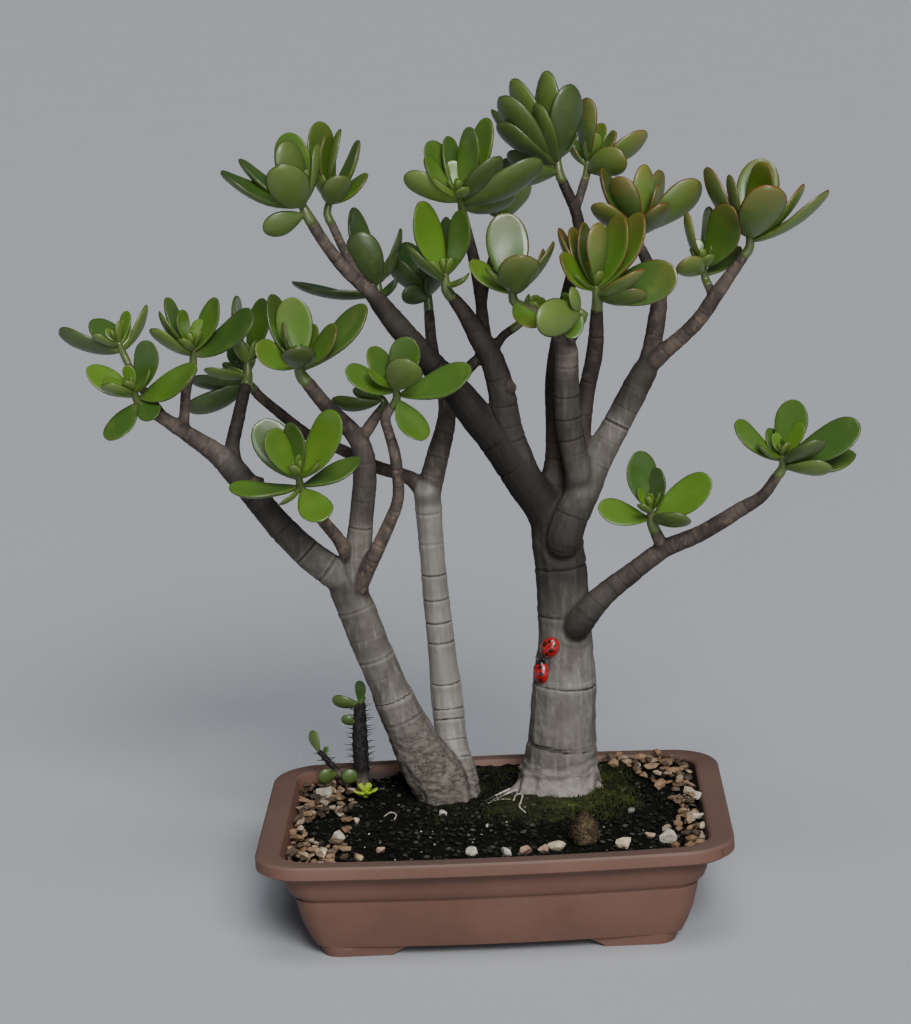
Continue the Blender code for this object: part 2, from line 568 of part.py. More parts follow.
def shoot_frame(lean):
    """The rotation that takes the vertical to the shoot's own axis by the shortest way."""
    turn, tilt = (math.radians(angle) for angle in lean)
    axis = Vector((math.sin(tilt) * math.cos(turn), math.sin(tilt) * math.sin(turn), math.cos(tilt)))
    return Vector((0, 0, 1)).rotation_difference(axis).to_matrix()


def leaf(root, way, axis, length, roll):
    """One thick obovate leaf, hollow side up, as a ball drawn out along the leaf's own axes."""
    rings = 5 if length >= LARGE_LEAF else 4
    half_width = 0.5 * LEAF_WIDTH * length
    half_thick = 0.5 * LEAF_THICKNESS * length
    across = axis.cross(way).normalized()
    across.rotate(Matrix.Rotation(roll, 3, way))
    up = way.cross(across)
    bm = bmesh.new()
    bmesh.ops.create_uvsphere(bm, u_segments=LEAF_SIDES, v_segments=rings, radius=1.0)
    for vert in bm.verts:
        share = 0.5 + 0.5 * vert.co.z
        outline = share ** 1.3 * (1.0 - share) ** 0.55 / 0.324
        ring = math.hypot(vert.co.x, vert.co.y)
        edge = vert.co.x / ring if ring > 1e-6 else 0.0
        face = vert.co.y / ring if ring > 1e-6 else 0.0
        waist = min(1.0, ring * 2.0)
        side = edge * max(half_width * outline, LEAF_ROOT * waist)
        thick = face * max(half_thick * ring ** 0.5, 0.8 * LEAF_ROOT * waist)
        sag = 0.32 * length * share * (1.0 - share)
        cup = 0.10 * half_width * edge * edge * outline
        vert.co = root + way * (share * length) + across * side + up * (thick + cup - sag)
    return object_of("leaf", mesh_of("leaf", bm), CUTTERS)


def make_shoot(name):
    """A leafy shoot: a short green stem tip on its limb's end, with its leaves sunk into it."""
    tree, limb, lean, leaves = SHOOTS[name]
    route = TREES[tree][limb]
    before, end, radius = Vector(route[-2][:3]), Vector(route[-1][:3]), route[-1][3]
    out = (end - before).normalized()
    start = end + out * GAP
    meet = end + out * SHOOT_REACH
    frame = shoot_frame(lean)
    axis = frame @ Vector((0, 0, 1))
    rise = SHOOT_RISE if len(leaves) > 3 else 0.5 * SHOOT_RISE
    tip = meet + axis * rise
    neck = tube("neck", [(*start, radius), (*(meet + out), radius)], sides=4)
    stem = tube("stem", [(*(meet - axis * 0.5 * radius), max(radius, 3.0)), (*tip, 2.2)], sides=4)
    pieces = [neck, stem]
    draw = random.Random(name)
    for turn, lift, length, twist in leaves:
        angle, height = math.radians(turn), math.radians(lift)
        way = frame @ Vector((math.cos(height) * math.cos(angle), math.cos(height) * math.sin(angle),
                              math.sin(height)))
        root = meet + axis * (rise * max(lift, 0) / 100.0) + way * 1.0
        roll = math.radians(twist + draw.uniform(-4, 4))
        pieces.append(leaf(root, way, axis, length - 1.0, roll))
    return fuse(name, pieces, "leaf")


# The thorny seedlings: their stems as routes, and leaves as (share up the stem, turn, rise, length).
SEEDLINGS = {
    "thorny_seedling": {
        "stem": [(-89, 67, 50, 4.5), (-89, 67, 62, 4.5), (-89.5, 67, 90, 4.2), (-88, 67, 118, 3.4)],
        "spines": 26,
        "leaves": [(0.97, 165, 15, 20), (1.0, 120, 60, 16), (0.78, 195, 20, 15), (0.30, 190, 25, 11)],
    },
    "thorny_offshoot": {
        "stem": [(-99, 79, 50, 2.4), (-101, 78, 64, 2.4), (-112, 76, 80, 2.0), (-118, 75, 88, 1.6)],
        "spines": 8,
        "leaves": [(1.0, 120, 70, 12), (0.7, 290, -20, 11), (0.75, 330, 10, 13)],
    },
}
SPINE_LENGTH = 4.6
SPROUT_PLACE = (-87.0, 54.0)


def along(route, share):
    """The place and the radius a share of the way up a route."""
    spans = len(route) - 1
    index = min(int(share * spans), spans - 1)
    low, high = Vector(route[index]), Vector(route[index + 1])
    point = low.lerp(high, share * spans - index)
    return Vector(point[:3]), point[3]


def spine(root, way, length, radius):
    """One three-sided spine, its foot sunk into the stem."""
    bm = bmesh.new()
    bmesh.ops.create_cone(bm, cap_ends=True, segments=3, radius1=radius, radius2=0.0, depth=length)
    turn = Vector((0, 0, 1)).rotation_difference(way).to_matrix().to_4x4()
    middle = Matrix.Translation(root + way * (0.5 * length))
    bmesh.ops.transform(bm, matrix=middle @ turn, verts=bm.verts)
    return object_of("spine", mesh_of("spine", bm), CUTTERS)


def make_seedling(name):
    """A thorny seedling: a rough dark stem with its spines and few small leaves."""
    seedling = SEEDLINGS[name]
    route = seedling["stem"]
    pieces = [tube("stem", route, sides=limb_sides(route))]
    golden_turn = math.radians(137.5)
    draw = random.Random(name)
    for number in range(seedling["spines"]):
        share = 0.36 + 0.62 * number / seedling["spines"]
        place, radius = along(route, share)
        angle = golden_turn * number
        lift = draw.uniform(-0.1, 0.35)
        way = Vector((math.cos(angle), math.sin(angle), lift)).normalized()
        pieces.append(spine(place + way * (0.5 * radius), way, 0.5 * radius + SPINE_LENGTH, 0.75))
    for share, turn, lift, length in seedling["leaves"]:
        place, radius = along(route, share)
        angle, height = math.radians(turn), math.radians(lift)
        way = Vector((math.cos(height) * math.cos(angle), math.cos(height) * math.sin(angle),
                      math.sin(height)))
        pieces.append(leaf(place, way, Vector((0, 0, 1)), length, 0.0))
    return fuse(name, pieces, "thorn")


def make_sprout():
    """The small yellow-green sprout that lies on the gravel."""
    x, y = SPROUT_PLACE
    low = BED_TOP + GAP + 0.6
    core = [(x, y, low, 1.8), (x, y, low + 5.0, 1.6)]
    pieces = [tube("core", core, sides=6)]
    for turn in (20, 110, 200, 290):
        angle = math.radians(turn)
        way = Vector((0.9 * math.cos(angle), 0.9 * math.sin(angle), 0.35)).normalized()
        pieces.append(leaf(Vector((x, y, low + 2.6)), way, Vector((0, 0, 1)), 9.0, 0.0))
    return fuse("sprout", pieces, "leaf")


# Ladybirds on the right trunk: height on the trunk and the way round from the front, in degrees.
LADYBIRDS = {"ladybird_upper": (160.0, -36.0, 6.0), "ladybird_lower": (143.0, -52.0, 5.6)}


def make_ladybird(name):
    """A round-backed ladybird ornament, its flat back parallel to the bark and just clear of it."""
    height, turn, radius = LADYBIRDS[name]
    bm = bmesh.new()
    bmesh.ops.create_uvsphere(bm, u_segments=10, v_segments=6, radius=radius)
    bmesh.ops.scale(bm, vec=(0.92, 1.0, 0.75), verts=bm.verts)
    cut_flat(bm, 0.0)
    route = RIGHT_TREE["trunk"]
    low, high = next((a, b) for a, b in zip(route, route[1:]) if a[2] <= height <= b[2])
    heart = Vector(low[:3]).lerp(Vector(high[:3]), (height - low[2]) / (high[2] - low[2]))
    angle = math.radians(turn)
    bpy.context.view_layer.update()
    bark = bpy.data.objects["right_tree"]
    hit, spot, out, face = bark.ray_cast(heart * MM, Vector((math.sin(angle), -math.cos(angle), 0)))
    along_trunk = Vector((0, 0, 1)) - out * out.z
    along_trunk.normalize()
    side = along_trunk.cross(out)
    seat = spot / MM + out * GAP
    place = Matrix((side, along_trunk, out)).transposed().to_4x4()
    place.translation = seat
    bmesh.ops.transform(bm, matrix=place, verts=bm.verts)
    return finish(object_of(name, mesh_of(name, bm), PARTS), "ladybird")


def make_tree(name):
    """One tree's wood: its trunk and limbs as tapering tubes, fused where they branch."""
    limbs = TREES[name]
    pieces = []
    for limb, route in limbs.items():
        pieces.append(tube(limb, route, sides=limb_sides(route)))
    return fuse(name, pieces, "bark")


def centre_on_origin():
    """Move the whole plant so that the middle of its footprint is the origin."""
    corners = [vert.co for made in PARTS.objects for vert in made.data.vertices]
    low = Vector([min(corner[i] for corner in corners) for i in range(3)])
    high = Vector([max(corner[i] for corner in corners) for i in range(3)])
    shift = Vector(((low.x + high.x) / 2, (low.y + high.y) / 2, low.z))
    for made in PARTS.objects:
        made.data.transform(Matrix.Translation(-shift))
    print("footprint middle, mm:", [round(value / MM, 2) for value in shift])


make_tray()
make_soil()
make_gravel()
make_moss()
for tree_name in TREES:
    make_tree(tree_name)
for shoot_name in SHOOTS:
    make_shoot(shoot_name)
for seedling_name in SEEDLINGS:
    make_seedling(seedling_name)
make_sprout()
for ladybird_name in LADYBIRDS:
    make_ladybird(ladybird_name)
centre_on_origin()
print("nodes:", len(PARTS.objects))
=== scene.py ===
# %% [markdown]
# # A potted jade plant, dressed in Blender
# This lesson dresses a plain CAD model of an old jade plant. The real thing is two branching trees
# with bare grey limbs and thick glossy leaves, in a low brown tray of gravel, dark soil and moss.
# The CAD parts are loaded first, as a frame that is never moved. Each piece below is then modelled
# finer than its CAD part and stands for it. Sizes are in millimetres about the middle of the tray,
# because that is how a maker would measure them, and they become metres at the last step.

# %% Tools and the frame
import math
import random

import bmesh
import bpy
import numpy as np
from mathutils import Matrix, Vector, noise


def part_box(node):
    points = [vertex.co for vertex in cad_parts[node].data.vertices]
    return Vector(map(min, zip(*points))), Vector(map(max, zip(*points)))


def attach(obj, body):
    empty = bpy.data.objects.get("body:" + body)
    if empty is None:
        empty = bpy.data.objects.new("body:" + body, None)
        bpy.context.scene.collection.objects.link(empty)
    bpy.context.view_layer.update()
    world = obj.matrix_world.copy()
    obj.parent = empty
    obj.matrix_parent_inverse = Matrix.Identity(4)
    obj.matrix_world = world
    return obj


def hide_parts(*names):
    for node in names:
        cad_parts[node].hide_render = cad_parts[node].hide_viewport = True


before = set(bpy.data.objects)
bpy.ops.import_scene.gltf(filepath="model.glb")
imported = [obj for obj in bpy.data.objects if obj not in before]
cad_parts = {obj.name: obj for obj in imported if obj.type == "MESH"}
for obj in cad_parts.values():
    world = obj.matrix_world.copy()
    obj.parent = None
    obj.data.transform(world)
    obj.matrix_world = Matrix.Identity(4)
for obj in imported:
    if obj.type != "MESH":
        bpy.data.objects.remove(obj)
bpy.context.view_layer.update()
MM = 0.001
UP = Vector((0, 0, 1))

pot_low, pot_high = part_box("pot")
TRAY_MIDDLE = Vector(((pot_low.x + pot_high.x) / 2, (pot_low.y + pot_high.y) / 2, pot_low.z))
print("CAD nodes:", len(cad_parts), "tray middle:", [round(v, 4) for v in TRAY_MIDDLE])

# %% [markdown]
# ## Shader maths as plain expressions
# A procedural material is a small program made of nodes. Wiring each Math node by hand hides what
# it does, so a little class wraps one output socket and turns Python's operators into nodes.
# Numbers go through Math nodes, colours through Mix and directions through Vector Math, because a
# Math node would turn a colour grey.


# %% A socket that does arithmetic
class Wire:
    """One output of a shader node. Arithmetic on it adds the nodes that do the sum."""

    def __init__(self, finish, socket):
        self.finish = finish
        self.socket = socket

    def combine(self, operation, other, turned=False):
        first, second = (other, self) if turned else (self, other)
        kinds = [side.socket.type for side in (first, second) if isinstance(side, Wire)]
        if "RGBA" in kinds:
            return self.finish.blend(operation, 1.0, first, second)
        kind = "VectorMath" if "VECTOR" in kinds else "Math"
        return self.finish.node(kind, {"operation": operation}, {0: first, 1: second})

    def __add__(self, other):
        return self.combine("ADD", other)

    def __radd__(self, other):
        return self.combine("ADD", other, turned=True)

    def __sub__(self, other):
        return self.combine("SUBTRACT", other)

    def __rsub__(self, other):
        return self.combine("SUBTRACT", other, turned=True)

    def __mul__(self, other):
        return self.combine("MULTIPLY", other)

    def __rmul__(self, other):
        return self.combine("MULTIPLY", other, turned=True)

    def __pow__(self, other):
        return self.combine("POWER", other)

    def __abs__(self):
        return self.finish.node("Math", {"operation": "ABSOLUTE"}, {0: self})

    def step(self, low, high):
        """A smooth rise from 0 at low to 1 at high; high may lie below low for a fall."""
        start, end = (0.0, 1.0) if low < high else (1.0, 0.0)
        ends = {0: self, 1: min(low, high), 2: max(low, high), 3: start, 4: end}
        return self.finish.node("MapRange", {"interpolation_type": "SMOOTHSTEP"}, ends)


# %% [markdown]
# The second helper owns one material. Its single node method takes a node's type, then the settings
# that choose its sockets, then the values or wires of those sockets. Everything that varies over a
# surface ends in colour, roughness, coat or bump, and every constant is set on the shader itself.


# %% A material builder
class Finish:
    """A Principled material under construction."""

    def __init__(self, name, **constants):
        self.material = bpy.data.materials.new(name)
        self.material.use_nodes = True
        self.tree = self.material.node_tree
        self.shader = self.tree.nodes["Principled BSDF"]
        for socket, value in constants.items():
            self.shader.inputs[socket.replace("_", " ")].default_value = value

    def node(self, kind, settings=None, inputs=None, output=0):
        made = self.tree.nodes.new("ShaderNode" + kind)
        for setting, value in (settings or {}).items():
            setattr(made, setting, value)
        for key, value in (inputs or {}).items():
            self.feed(made.inputs[key], value)
        return Wire(self, made.outputs[output])

    def feed(self, socket, value):
        """Give a socket a wire, or a number or colour in the form that the socket takes."""
        if isinstance(value, Wire):
            self.tree.links.new(value.socket, socket)
            return
        number = isinstance(value, (int, float))
        if socket.type == "RGBA":
            value = (value, value, value, 1.0) if number else (*value[:3], 1.0)
        elif socket.type == "VECTOR" and number:
            value = (value, value, value)
        socket.default_value = value

    def blend(self, mode, factor, first, second):
        """A Mix node set to colours, which keeps its colour sockets at 6 and 7."""
        settings = {"data_type": "RGBA", "blend_type": mode}
        return self.node("Mix", settings, {0: factor, 6: first, 7: second}, output=2)

    def mix(self, factor, first, second):
        """Go from the first colour to the second as the factor goes from 0 to 1."""
        return self.blend("MIX", factor, first, second)

    def coats(self, colour, *coats):
        """Lay coats over a colour, each a mask and the colour that shows where the mask is 1."""
        for mask, coat in coats:
            colour = self.mix(mask, colour, coat)
        return colour

    def place(self, stretch=(1.0, 1.0, 1.0)):
        """Object coordinates in metres, multiplied along each axis."""
        spot = self.node("TexCoord", output=3)
        return self.node("Mapping", {}, {0: spot, 3: stretch})

    def noise(self, scale, detail=3.0, rough=0.55, stretch=(1.0, 1.0, 1.0)):
        """Soft noise, from 0 to 1, with so many features to the metre."""
        inputs = {"Scale": scale, "Detail": detail, "Roughness": rough}
        return self.node("TexNoise", {}, {"Vector": self.place(stretch), **inputs})

    def attribute(self, name, part=None):
        """A value kept at each vertex: a number, or one part of a colour."""
        if part is None:
            return self.node("Attribute", {"attribute_name": name}, output=2)
        return self.node("SeparateColor", {}, {0: self.colour(name)}, part)

    def colour(self, name):
        """A colour kept at each vertex."""
        return self.node("Attribute", {"attribute_name": name})

    def bump(self, height, depth, strength=1.0):
        """Tilt the surface by a height that runs from 0 to 1, of so many metres."""
        inputs = {"Strength": strength, "Distance": depth, "Height": height}
        self.feed(self.shader.inputs["Normal"], self.node("Bump", {}, inputs))

    def surface(self, **values):
        """Feed the shader's own sockets and give back the finished material."""
        for socket, value in values.items():
            self.feed(self.shader.inputs[socket.replace("_", " ")], value)
        return self.material


# %% [markdown]
# ## From millimetres to finished pieces
# Every piece is modelled about the middle of the tray and settled the same way: it is scaled to
# metres, moved to where the CAD tray stands, given its finish, and tied to the plant's one body.
# Modifiers that build a shape, such as Remesh and Boolean, need an object, so a few helpers carry a
# bmesh into a mesh or an object and back.


# %% Meshes and back
def layered_bmesh(*names):
    """An empty bmesh that keeps a colour of each name at its vertices."""
    bm = bmesh.new()
    for name in names:
        bm.verts.layers.float_color.new(name)
    return bm


def mesh_of(bm, name):
    """The bmesh as a mesh of its own; the bmesh is let go."""
    mesh = bpy.data.meshes.new(name)
    bm.to_mesh(mesh)
    bm.free()
    return mesh


def take_mesh(bm, mesh):
    """Add a mesh's faces to the bmesh; the mesh is removed."""
    bm.from_mesh(mesh)
    bpy.data.meshes.remove(mesh)


def placed_object(name, data):
    """A new object in the scene that holds a mesh, curve, lamp or camera."""
    holder = bpy.data.objects.new(name, data)
    bpy.context.scene.collection.objects.link(holder)
    return holder


def baked(piece):
    """The object's mesh with its modifiers applied; the object is removed."""
    bpy.context.view_layer.update()
    graph = bpy.context.evaluated_depsgraph_get()
    mesh = bpy.data.meshes.new_from_object(piece.evaluated_get(graph))
    bpy.data.objects.remove(piece, do_unlink=True)
    return mesh


def remeshed(bm, name, voxel):
    """The bmesh's shapes joined into one even skin by a voxel remesh."""
    rough = placed_object(name, mesh_of(bm, name))
    remesh = rough.modifiers.new("join", "REMESH")
    remesh.mode = "VOXEL"
    remesh.voxel_size = voxel
    skin = bmesh.new()
    take_mesh(skin, baked(rough))
    return skin


# %% Settle a piece in the frame
def settle(name, bm, material, replaces=(), sharp=None):
    """Turn a bmesh in millimetres into a finished piece, which stands for the CAD nodes it replaces."""
    bmesh.ops.scale(bm, vec=(MM, MM, MM), verts=bm.verts)
    bmesh.ops.translate(bm, vec=TRAY_MIDDLE, verts=bm.verts)
    mesh = mesh_of(bm, name)
    mesh.materials.append(material)
    mesh.shade_smooth()
    if sharp is not None:
        mesh.set_sharp_from_angle(angle=math.radians(sharp))
    piece = placed_object(name, mesh)
    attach(piece, "root")
    if replaces:
        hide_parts(*replaces)
    triangles = sum(len(polygon.vertices) - 2 for polygon in mesh.polygons)
    print(f"{name}: {len(mesh.vertices)} vertices, {triangles} triangles")
    return piece


# %% Small sums
def bell(value, middle, width):
    """A bell curve: 1 at its middle and close to 0 at twice its width."""
    return np.exp(-((value - middle) / width) ** 2)


def clamp(value):
    """A number held between 0 and 1."""
    return min(1.0, max(0.0, value))


def direction(turn, lift):
    """The unit vector at a turn about the vertical and a lift above the level, in degrees."""
    angle, height = math.radians(turn), math.radians(lift)
    flat = math.cos(height)
    return Vector((flat * math.cos(angle), flat * math.sin(angle), math.sin(height)))


# %% [markdown]
# ## The limbs
# The trees are grown from routes: points along each trunk and limb with the radius
# there, the same ones that the CAD solids follow. A jade plant's wood is soft and swells where limbs
# part, so plain tubes look like plumbing. Here the tubes are joined by a voxel remesh, softened at the
# forks, and then ringed by moving each vertex by a rule.

# %% Routes of the left tree
LEFT_TREE = {
    "trunk": [(-33, 55, 42, 18), (-34, 55, 63, 18), (-39, 55, 74, 18), (-46, 55, 85, 17),
              (-53, 55, 100, 15.5), (-64, 55, 127, 13.5), (-69, 55, 141, 12.5), (-79, 55, 169, 12.5),
              (-87, 55, 194, 12.5), (-93, 55, 207, 11.5)],
    "outer": [(-88, 55, 197, 11), (-95, 54, 212, 11), (-114, 52, 229, 10), (-133, 52, 250, 9),
              (-148, 52, 271, 8.5), (-160, 52, 288, 8.5), (-172, 51, 301, 7), (-187, 49, 313, 5.5),
              (-205, 47, 327, 4.5), (-214, 46, 334, 3.5)],
    "outer_back": [(-201, 48, 324, 3), (-212, 56, 337, 3), (-222, 64, 349, 3), (-227, 72, 358, 2.5)],
    "outer_up": [(-191, 49, 317, 4), (-190, 54, 329, 3.5), (-189, 62, 341, 3.5), (-186, 72, 352, 3)],
    "middle_up": [(-157, 52, 285, 5.5), (-161, 57, 301, 5), (-157, 66, 319, 4.5), (-152, 84, 339, 4)],
    "stub": [(-158, 52, 287, 6), (-150, 50, 280, 6), (-142, 48, 278, 5)],
    "inner": [(-88, 55, 197, 11), (-86, 54, 211, 10), (-82, 52, 231, 9), (-79, 50, 252, 8),
              (-75, 46, 279, 8), (-75, 43, 299, 7), (-81, 41, 312, 6), (-97, 38, 331, 5),
              (-108, 36, 347, 4.5)],
    "inner_twig": [(-76, 43, 306, 4), (-69, 40, 316, 4), (-62, 38, 326, 3)],
    "inner_front": [(-88, 53, 224, 5.5), (-94, 42, 241, 4.5), (-103, 28, 258, 4), (-112, 13, 279, 3)],
    "front": [(-88, 55, 197, 8), (-81, 48, 210, 5.5), (-73, 42, 226, 5), (-61, 35, 250, 4.5),
              (-53, 29, 270, 4), (-53, 24, 296, 4), (-56, 21, 313, 3.5), (-58, 19, 324, 3.5),
              (-53, 18, 332, 3)],
    "second": [(-23, 58, 50, 14.5), (-24, 61, 72, 12), (-28, 71, 92, 10.5), (-30, 79, 119, 11),
               (-32, 81, 154, 9.5), (-34, 82, 190, 9), (-35, 83, 215, 8.5), (-36, 84, 249, 9),
               (-36, 84, 263, 9.5)],
    "second_up": [(-36, 84, 257, 8.5), (-32, 86, 272, 8), (-27, 90, 288, 7.5), (-22, 94, 304, 6.5),
                  (-21, 98, 320, 5.5), (-26, 103, 337, 4.5), (-29, 109, 357, 4), (-30, 117, 378, 3.5)],
    "second_left": [(-37, 84, 257, 6.5), (-44, 87, 268, 5.5), (-54, 90, 273, 4.5), (-70, 94, 278, 4.5),
                    (-93, 98, 290, 4), (-113, 101, 299, 4), (-143, 104, 325, 3.5),
                    (-149, 105, 332, 3.5)],
}

# %% Routes of the right tree
RIGHT_TREE = {
    "trunk": [(40, 53, 42, 29), (42, 53, 61, 28), (43, 53, 71, 25.5), (45, 53, 88, 23.5),
              (47, 53, 109, 22), (49, 53, 136, 21), (51, 53, 164, 18), (51, 53, 184, 17.5),
              (50, 53, 212, 17), (48, 53, 235, 16.5), (46, 53, 250, 15)],
    "left_limb": [(48, 53, 236, 15), (42, 52, 252, 13.5), (30, 51, 271, 12.5), (12, 50, 300, 11.5),
                  (0, 50, 316, 11), (-12, 50, 333, 10), (-29, 50, 354, 8.5), (-47, 50, 377, 7.5),
                  (-60, 50, 395, 6.5)],
    "left_tip_a": [(-56, 50, 390, 6.5), (-67, 48, 404, 5), (-80, 45, 418, 4.5), (-91, 43, 434, 4),
                   (-99, 41, 449, 4)],
    "left_tip_b": [(-56, 50, 390, 6), (-66, 55, 402, 4), (-75, 58, 415, 3), (-82, 60, 431, 3),
                   (-88, 61, 446, 3)],
    "left_back": [(-48, 50, 378, 4), (-54, 68, 380, 3.5), (-60, 90, 390, 3.5)],
    "left_cross": [(-14, 50, 336, 4), (-6, 48, 347, 4), (8, 45, 360, 3.5)],
    "mid_limb": [(42, 52, 252, 13), (33, 50, 268, 11), (25, 50, 289, 10), (20, 49, 307, 9.5),
                 (17, 48, 330, 9), (12, 46, 353, 8), (4, 44, 369, 7), (-4, 42, 385, 5.5),
                 (-12, 40, 397, 4)],
    "mid_knob": [(18, 48, 330, 5), (23, 43, 338, 5)],
    "mid_up": [(10, 45, 356, 5), (7, 50, 373, 4.5), (6, 53, 392, 4), (4, 52, 412, 4),
               (-2, 46, 447, 3)],
    "mid_back": [(6, 53, 389, 4), (10, 70, 403, 3), (19, 96, 427, 3)],
    "mid_twig": [(12, 46, 359, 3.5), (19, 46, 369, 3), (26, 45, 374, 3)],
    "right_limb": [(50, 45, 226, 9), (53, 39, 237, 12), (58, 40, 250, 11.5), (66, 43, 265, 11),
                   (77, 48, 286, 10), (90, 51, 307, 9), (102, 55, 327, 9), (111, 58, 342, 8.5)],
    "right_left": [(107, 56, 333, 8), (114, 60, 352, 6), (119, 64, 372, 6), (121, 70, 391, 5),
                   (111, 80, 418, 3.5)],
    "right_right": [(109, 57, 340, 6.5), (121, 55, 351, 5.5), (144, 53, 371, 5), (156, 52, 387, 5),
                    (176, 50, 414, 3.5)],
    "right_side": [(156, 52, 387, 4), (153, 59, 394, 3)],
    "front_limb": [(62, 46, 258, 10), (66, 44, 273, 10.5), (62, 41, 290, 8.5), (59, 38, 314, 8.5),
                   (59, 35, 341, 8), (59, 31, 364, 7), (50, 27, 378, 5), (32, 22, 392, 3.5)],
    "front_twig": [(59, 31, 362, 4.5), (69, 22, 380, 3)],
    "behind_right": [(65, 46, 279, 6), (68, 50, 305, 5.5), (72, 50, 331, 5.5), (78, 44, 358, 5.5),
                     (80, 30, 387, 4)],
    "behind_left": [(46, 57, 262, 9), (50, 62, 284, 7.5), (50, 68, 305, 6), (50, 74, 334, 5),
                    (55, 78, 360, 5), (63, 80, 392, 4.5), (70, 80, 418, 4), (71, 80, 439, 4),
                    (62, 80, 464, 3.5)],
    "behind_side": [(71, 80, 447, 3), (77, 102, 461, 3)],
    "low_limb": [(55, 47, 170, 8.5), (60, 38, 179, 9.6), (69, 38, 189, 8.6), (80, 40, 199, 7.5),
                 (92, 42, 207, 6.8), (117, 40, 225, 6),
                 (141, 38, 235, 5.5), (167, 36, 250, 5), (182, 35, 259, 4), (192, 35, 272, 3.5)],
    "low_twig": [(117, 40, 225, 4.5), (112, 36, 239, 4)],
    "left_root": [(28, 50, 74, 8), (18, 46, 66, 5.5), (8, 43, 60, 3.5), (0, 41, 56, 2.5)],
    "front_root": [(40, 40, 68, 8), (37, 29, 61, 5), (36, 22, 56, 3)],
    "right_root": [(60, 48, 68, 7), (70, 42, 61, 4.5), (77, 38, 56, 3)],
}
TREES = {"left_tree": LEFT_TREE, "right_tree": RIGHT_TREE}
print("limbs:", {name: len(limbs) for name, limbs in TREES.items()})

# %% [markdown]
# A limb bends smoothly between its points, so the route is resampled on a Catmull-Rom curve. The
# curve object then gives a round tube of changing thickness, with no faces worked out by hand.


# %% Smooth routes and tubes
def smooth_route(route, step):
    """Points about a step apart on the smooth curve through a route of (x, y, z, radius)."""
    points = [np.array(point, float) for point in route]
    ends = [2 * points[0] - points[1], *points, 2 * points[-1] - points[-2]]
    sampled = []
    for a, b, c, d in zip(ends, ends[1:], ends[2:], ends[3:]):
        pieces = max(1, round(np.linalg.norm((c - b)[:3]) / step))
        for share in np.arange(pieces) / pieces:
            curve = 2 * b + (c - a) * share + (2 * a - 5 * b + 4 * c - d) * share ** 2
            sampled.append((curve + (3 * b - a - 3 * c + d) * share ** 3) / 2)
    sampled.append(points[-1])
    return np.array(sampled)


def add_tube(bm, route, resolution=4, step=3.0):
    """Add a closed round tube along a route to the bmesh."""
    points = smooth_route(route, step)
    curve = bpy.data.curves.new("limb", "CURVE")
    curve.dimensions = "3D"
    curve.bevel_depth = 1.0
    curve.bevel_resolution = resolution
    curve.use_fill_caps = True
    spline = curve.splines.new("POLY")
    spline.points.add(len(points) - 1)
    for point, (x, y, z, radius) in zip(spline.points, points):
        point.co = (x, y, z, 1.0)
        point.radius = radius
    take_mesh(bm, baked(placed_object("limb", curve)))
    bpy.data.curves.remove(curve)
    bmesh.ops.remove_doubles(bm, verts=bm.verts, dist=0.0005)


# %% [markdown]
# The rings on a jade stem are the scars of old leaf pairs: close together on thin twigs, far apart on
# the trunk. For each vertex the script finds the limb whose bark it lies on and how far along that limb
# it is. From this it works out a growth number that rises by one from ring to ring, which the bark's
# finish reads as well, so that the painted line falls in the modelled groove.

# %% Where the bark lies
FORK_SOFTNESS = 5.0
SPAN = 6.0
CHUNK = 4000


def limb_spans(limbs):
    """All limbs as one array of short straight spans, with the distance run along each limb."""
    rows = []
    for number, route in enumerate(limbs.values()):
        points = smooth_route(route, SPAN)
        run = 0.0
        for low, high in zip(points, points[1:]):
            length = np.linalg.norm((high - low)[:3])
            rows.append((*low, *high, run, run + length, number))
            run += length
    return np.array(rows)


def nearest_bark(places, spans):
    """For each place: its limb, the run along it, the radius there and how close a second limb is."""
    starts, ends = spans[:, 0:3], spans[:, 4:7]
    ways = ends - starts
    length_squared = (ways ** 2).sum(1)
    limb, run, radius, join = (np.zeros(len(places)) for _ in range(4))
    for first in range(0, len(places), CHUNK):
        chunk = slice(first, first + CHUNK)
        offset = places[chunk, None, :] - starts[None]
        share = np.clip((offset * ways).sum(2) / length_squared, 0.0, 1.0)
        apart = np.linalg.norm(offset - share[..., None] * ways, axis=2)
        bark = apart - (spans[:, 3] + share * (spans[:, 7] - spans[:, 3]))
        best = bark.argmin(1)
        rows = np.arange(len(best))
        limb[chunk] = spans[best, 10]
        near_share = share[rows, best]
        run[chunk] = spans[best, 8] + near_share * (spans[best, 9] - spans[best, 8])
        radius[chunk] = spans[best, 3] + near_share * (spans[best, 7] - spans[best, 3])
        others = np.where(spans[None, :, 10] == limb[chunk][:, None], np.inf, bark).min(1)
        join[chunk] = np.clip(1.0 - (others - bark[rows, best]) / FORK_SOFTNESS, 0.0, 1.0)
    return limb.astype(int), run, radius, join


# %% Rings
# The clearest rings of two of the stems, as heights above the floor.
SEEN_RINGS = {("right_tree", "trunk"): [62, 76, 94, 135, 181, 212, 233],
              ("left_tree", "second"): [64, 80, 92, 106, 113, 131, 160, 174, 190, 207, 229, 250]}
GROOVE_WIDTH = 1.1
BEFORE_FIRST = 20.0
BEYOND_LAST = 40.0


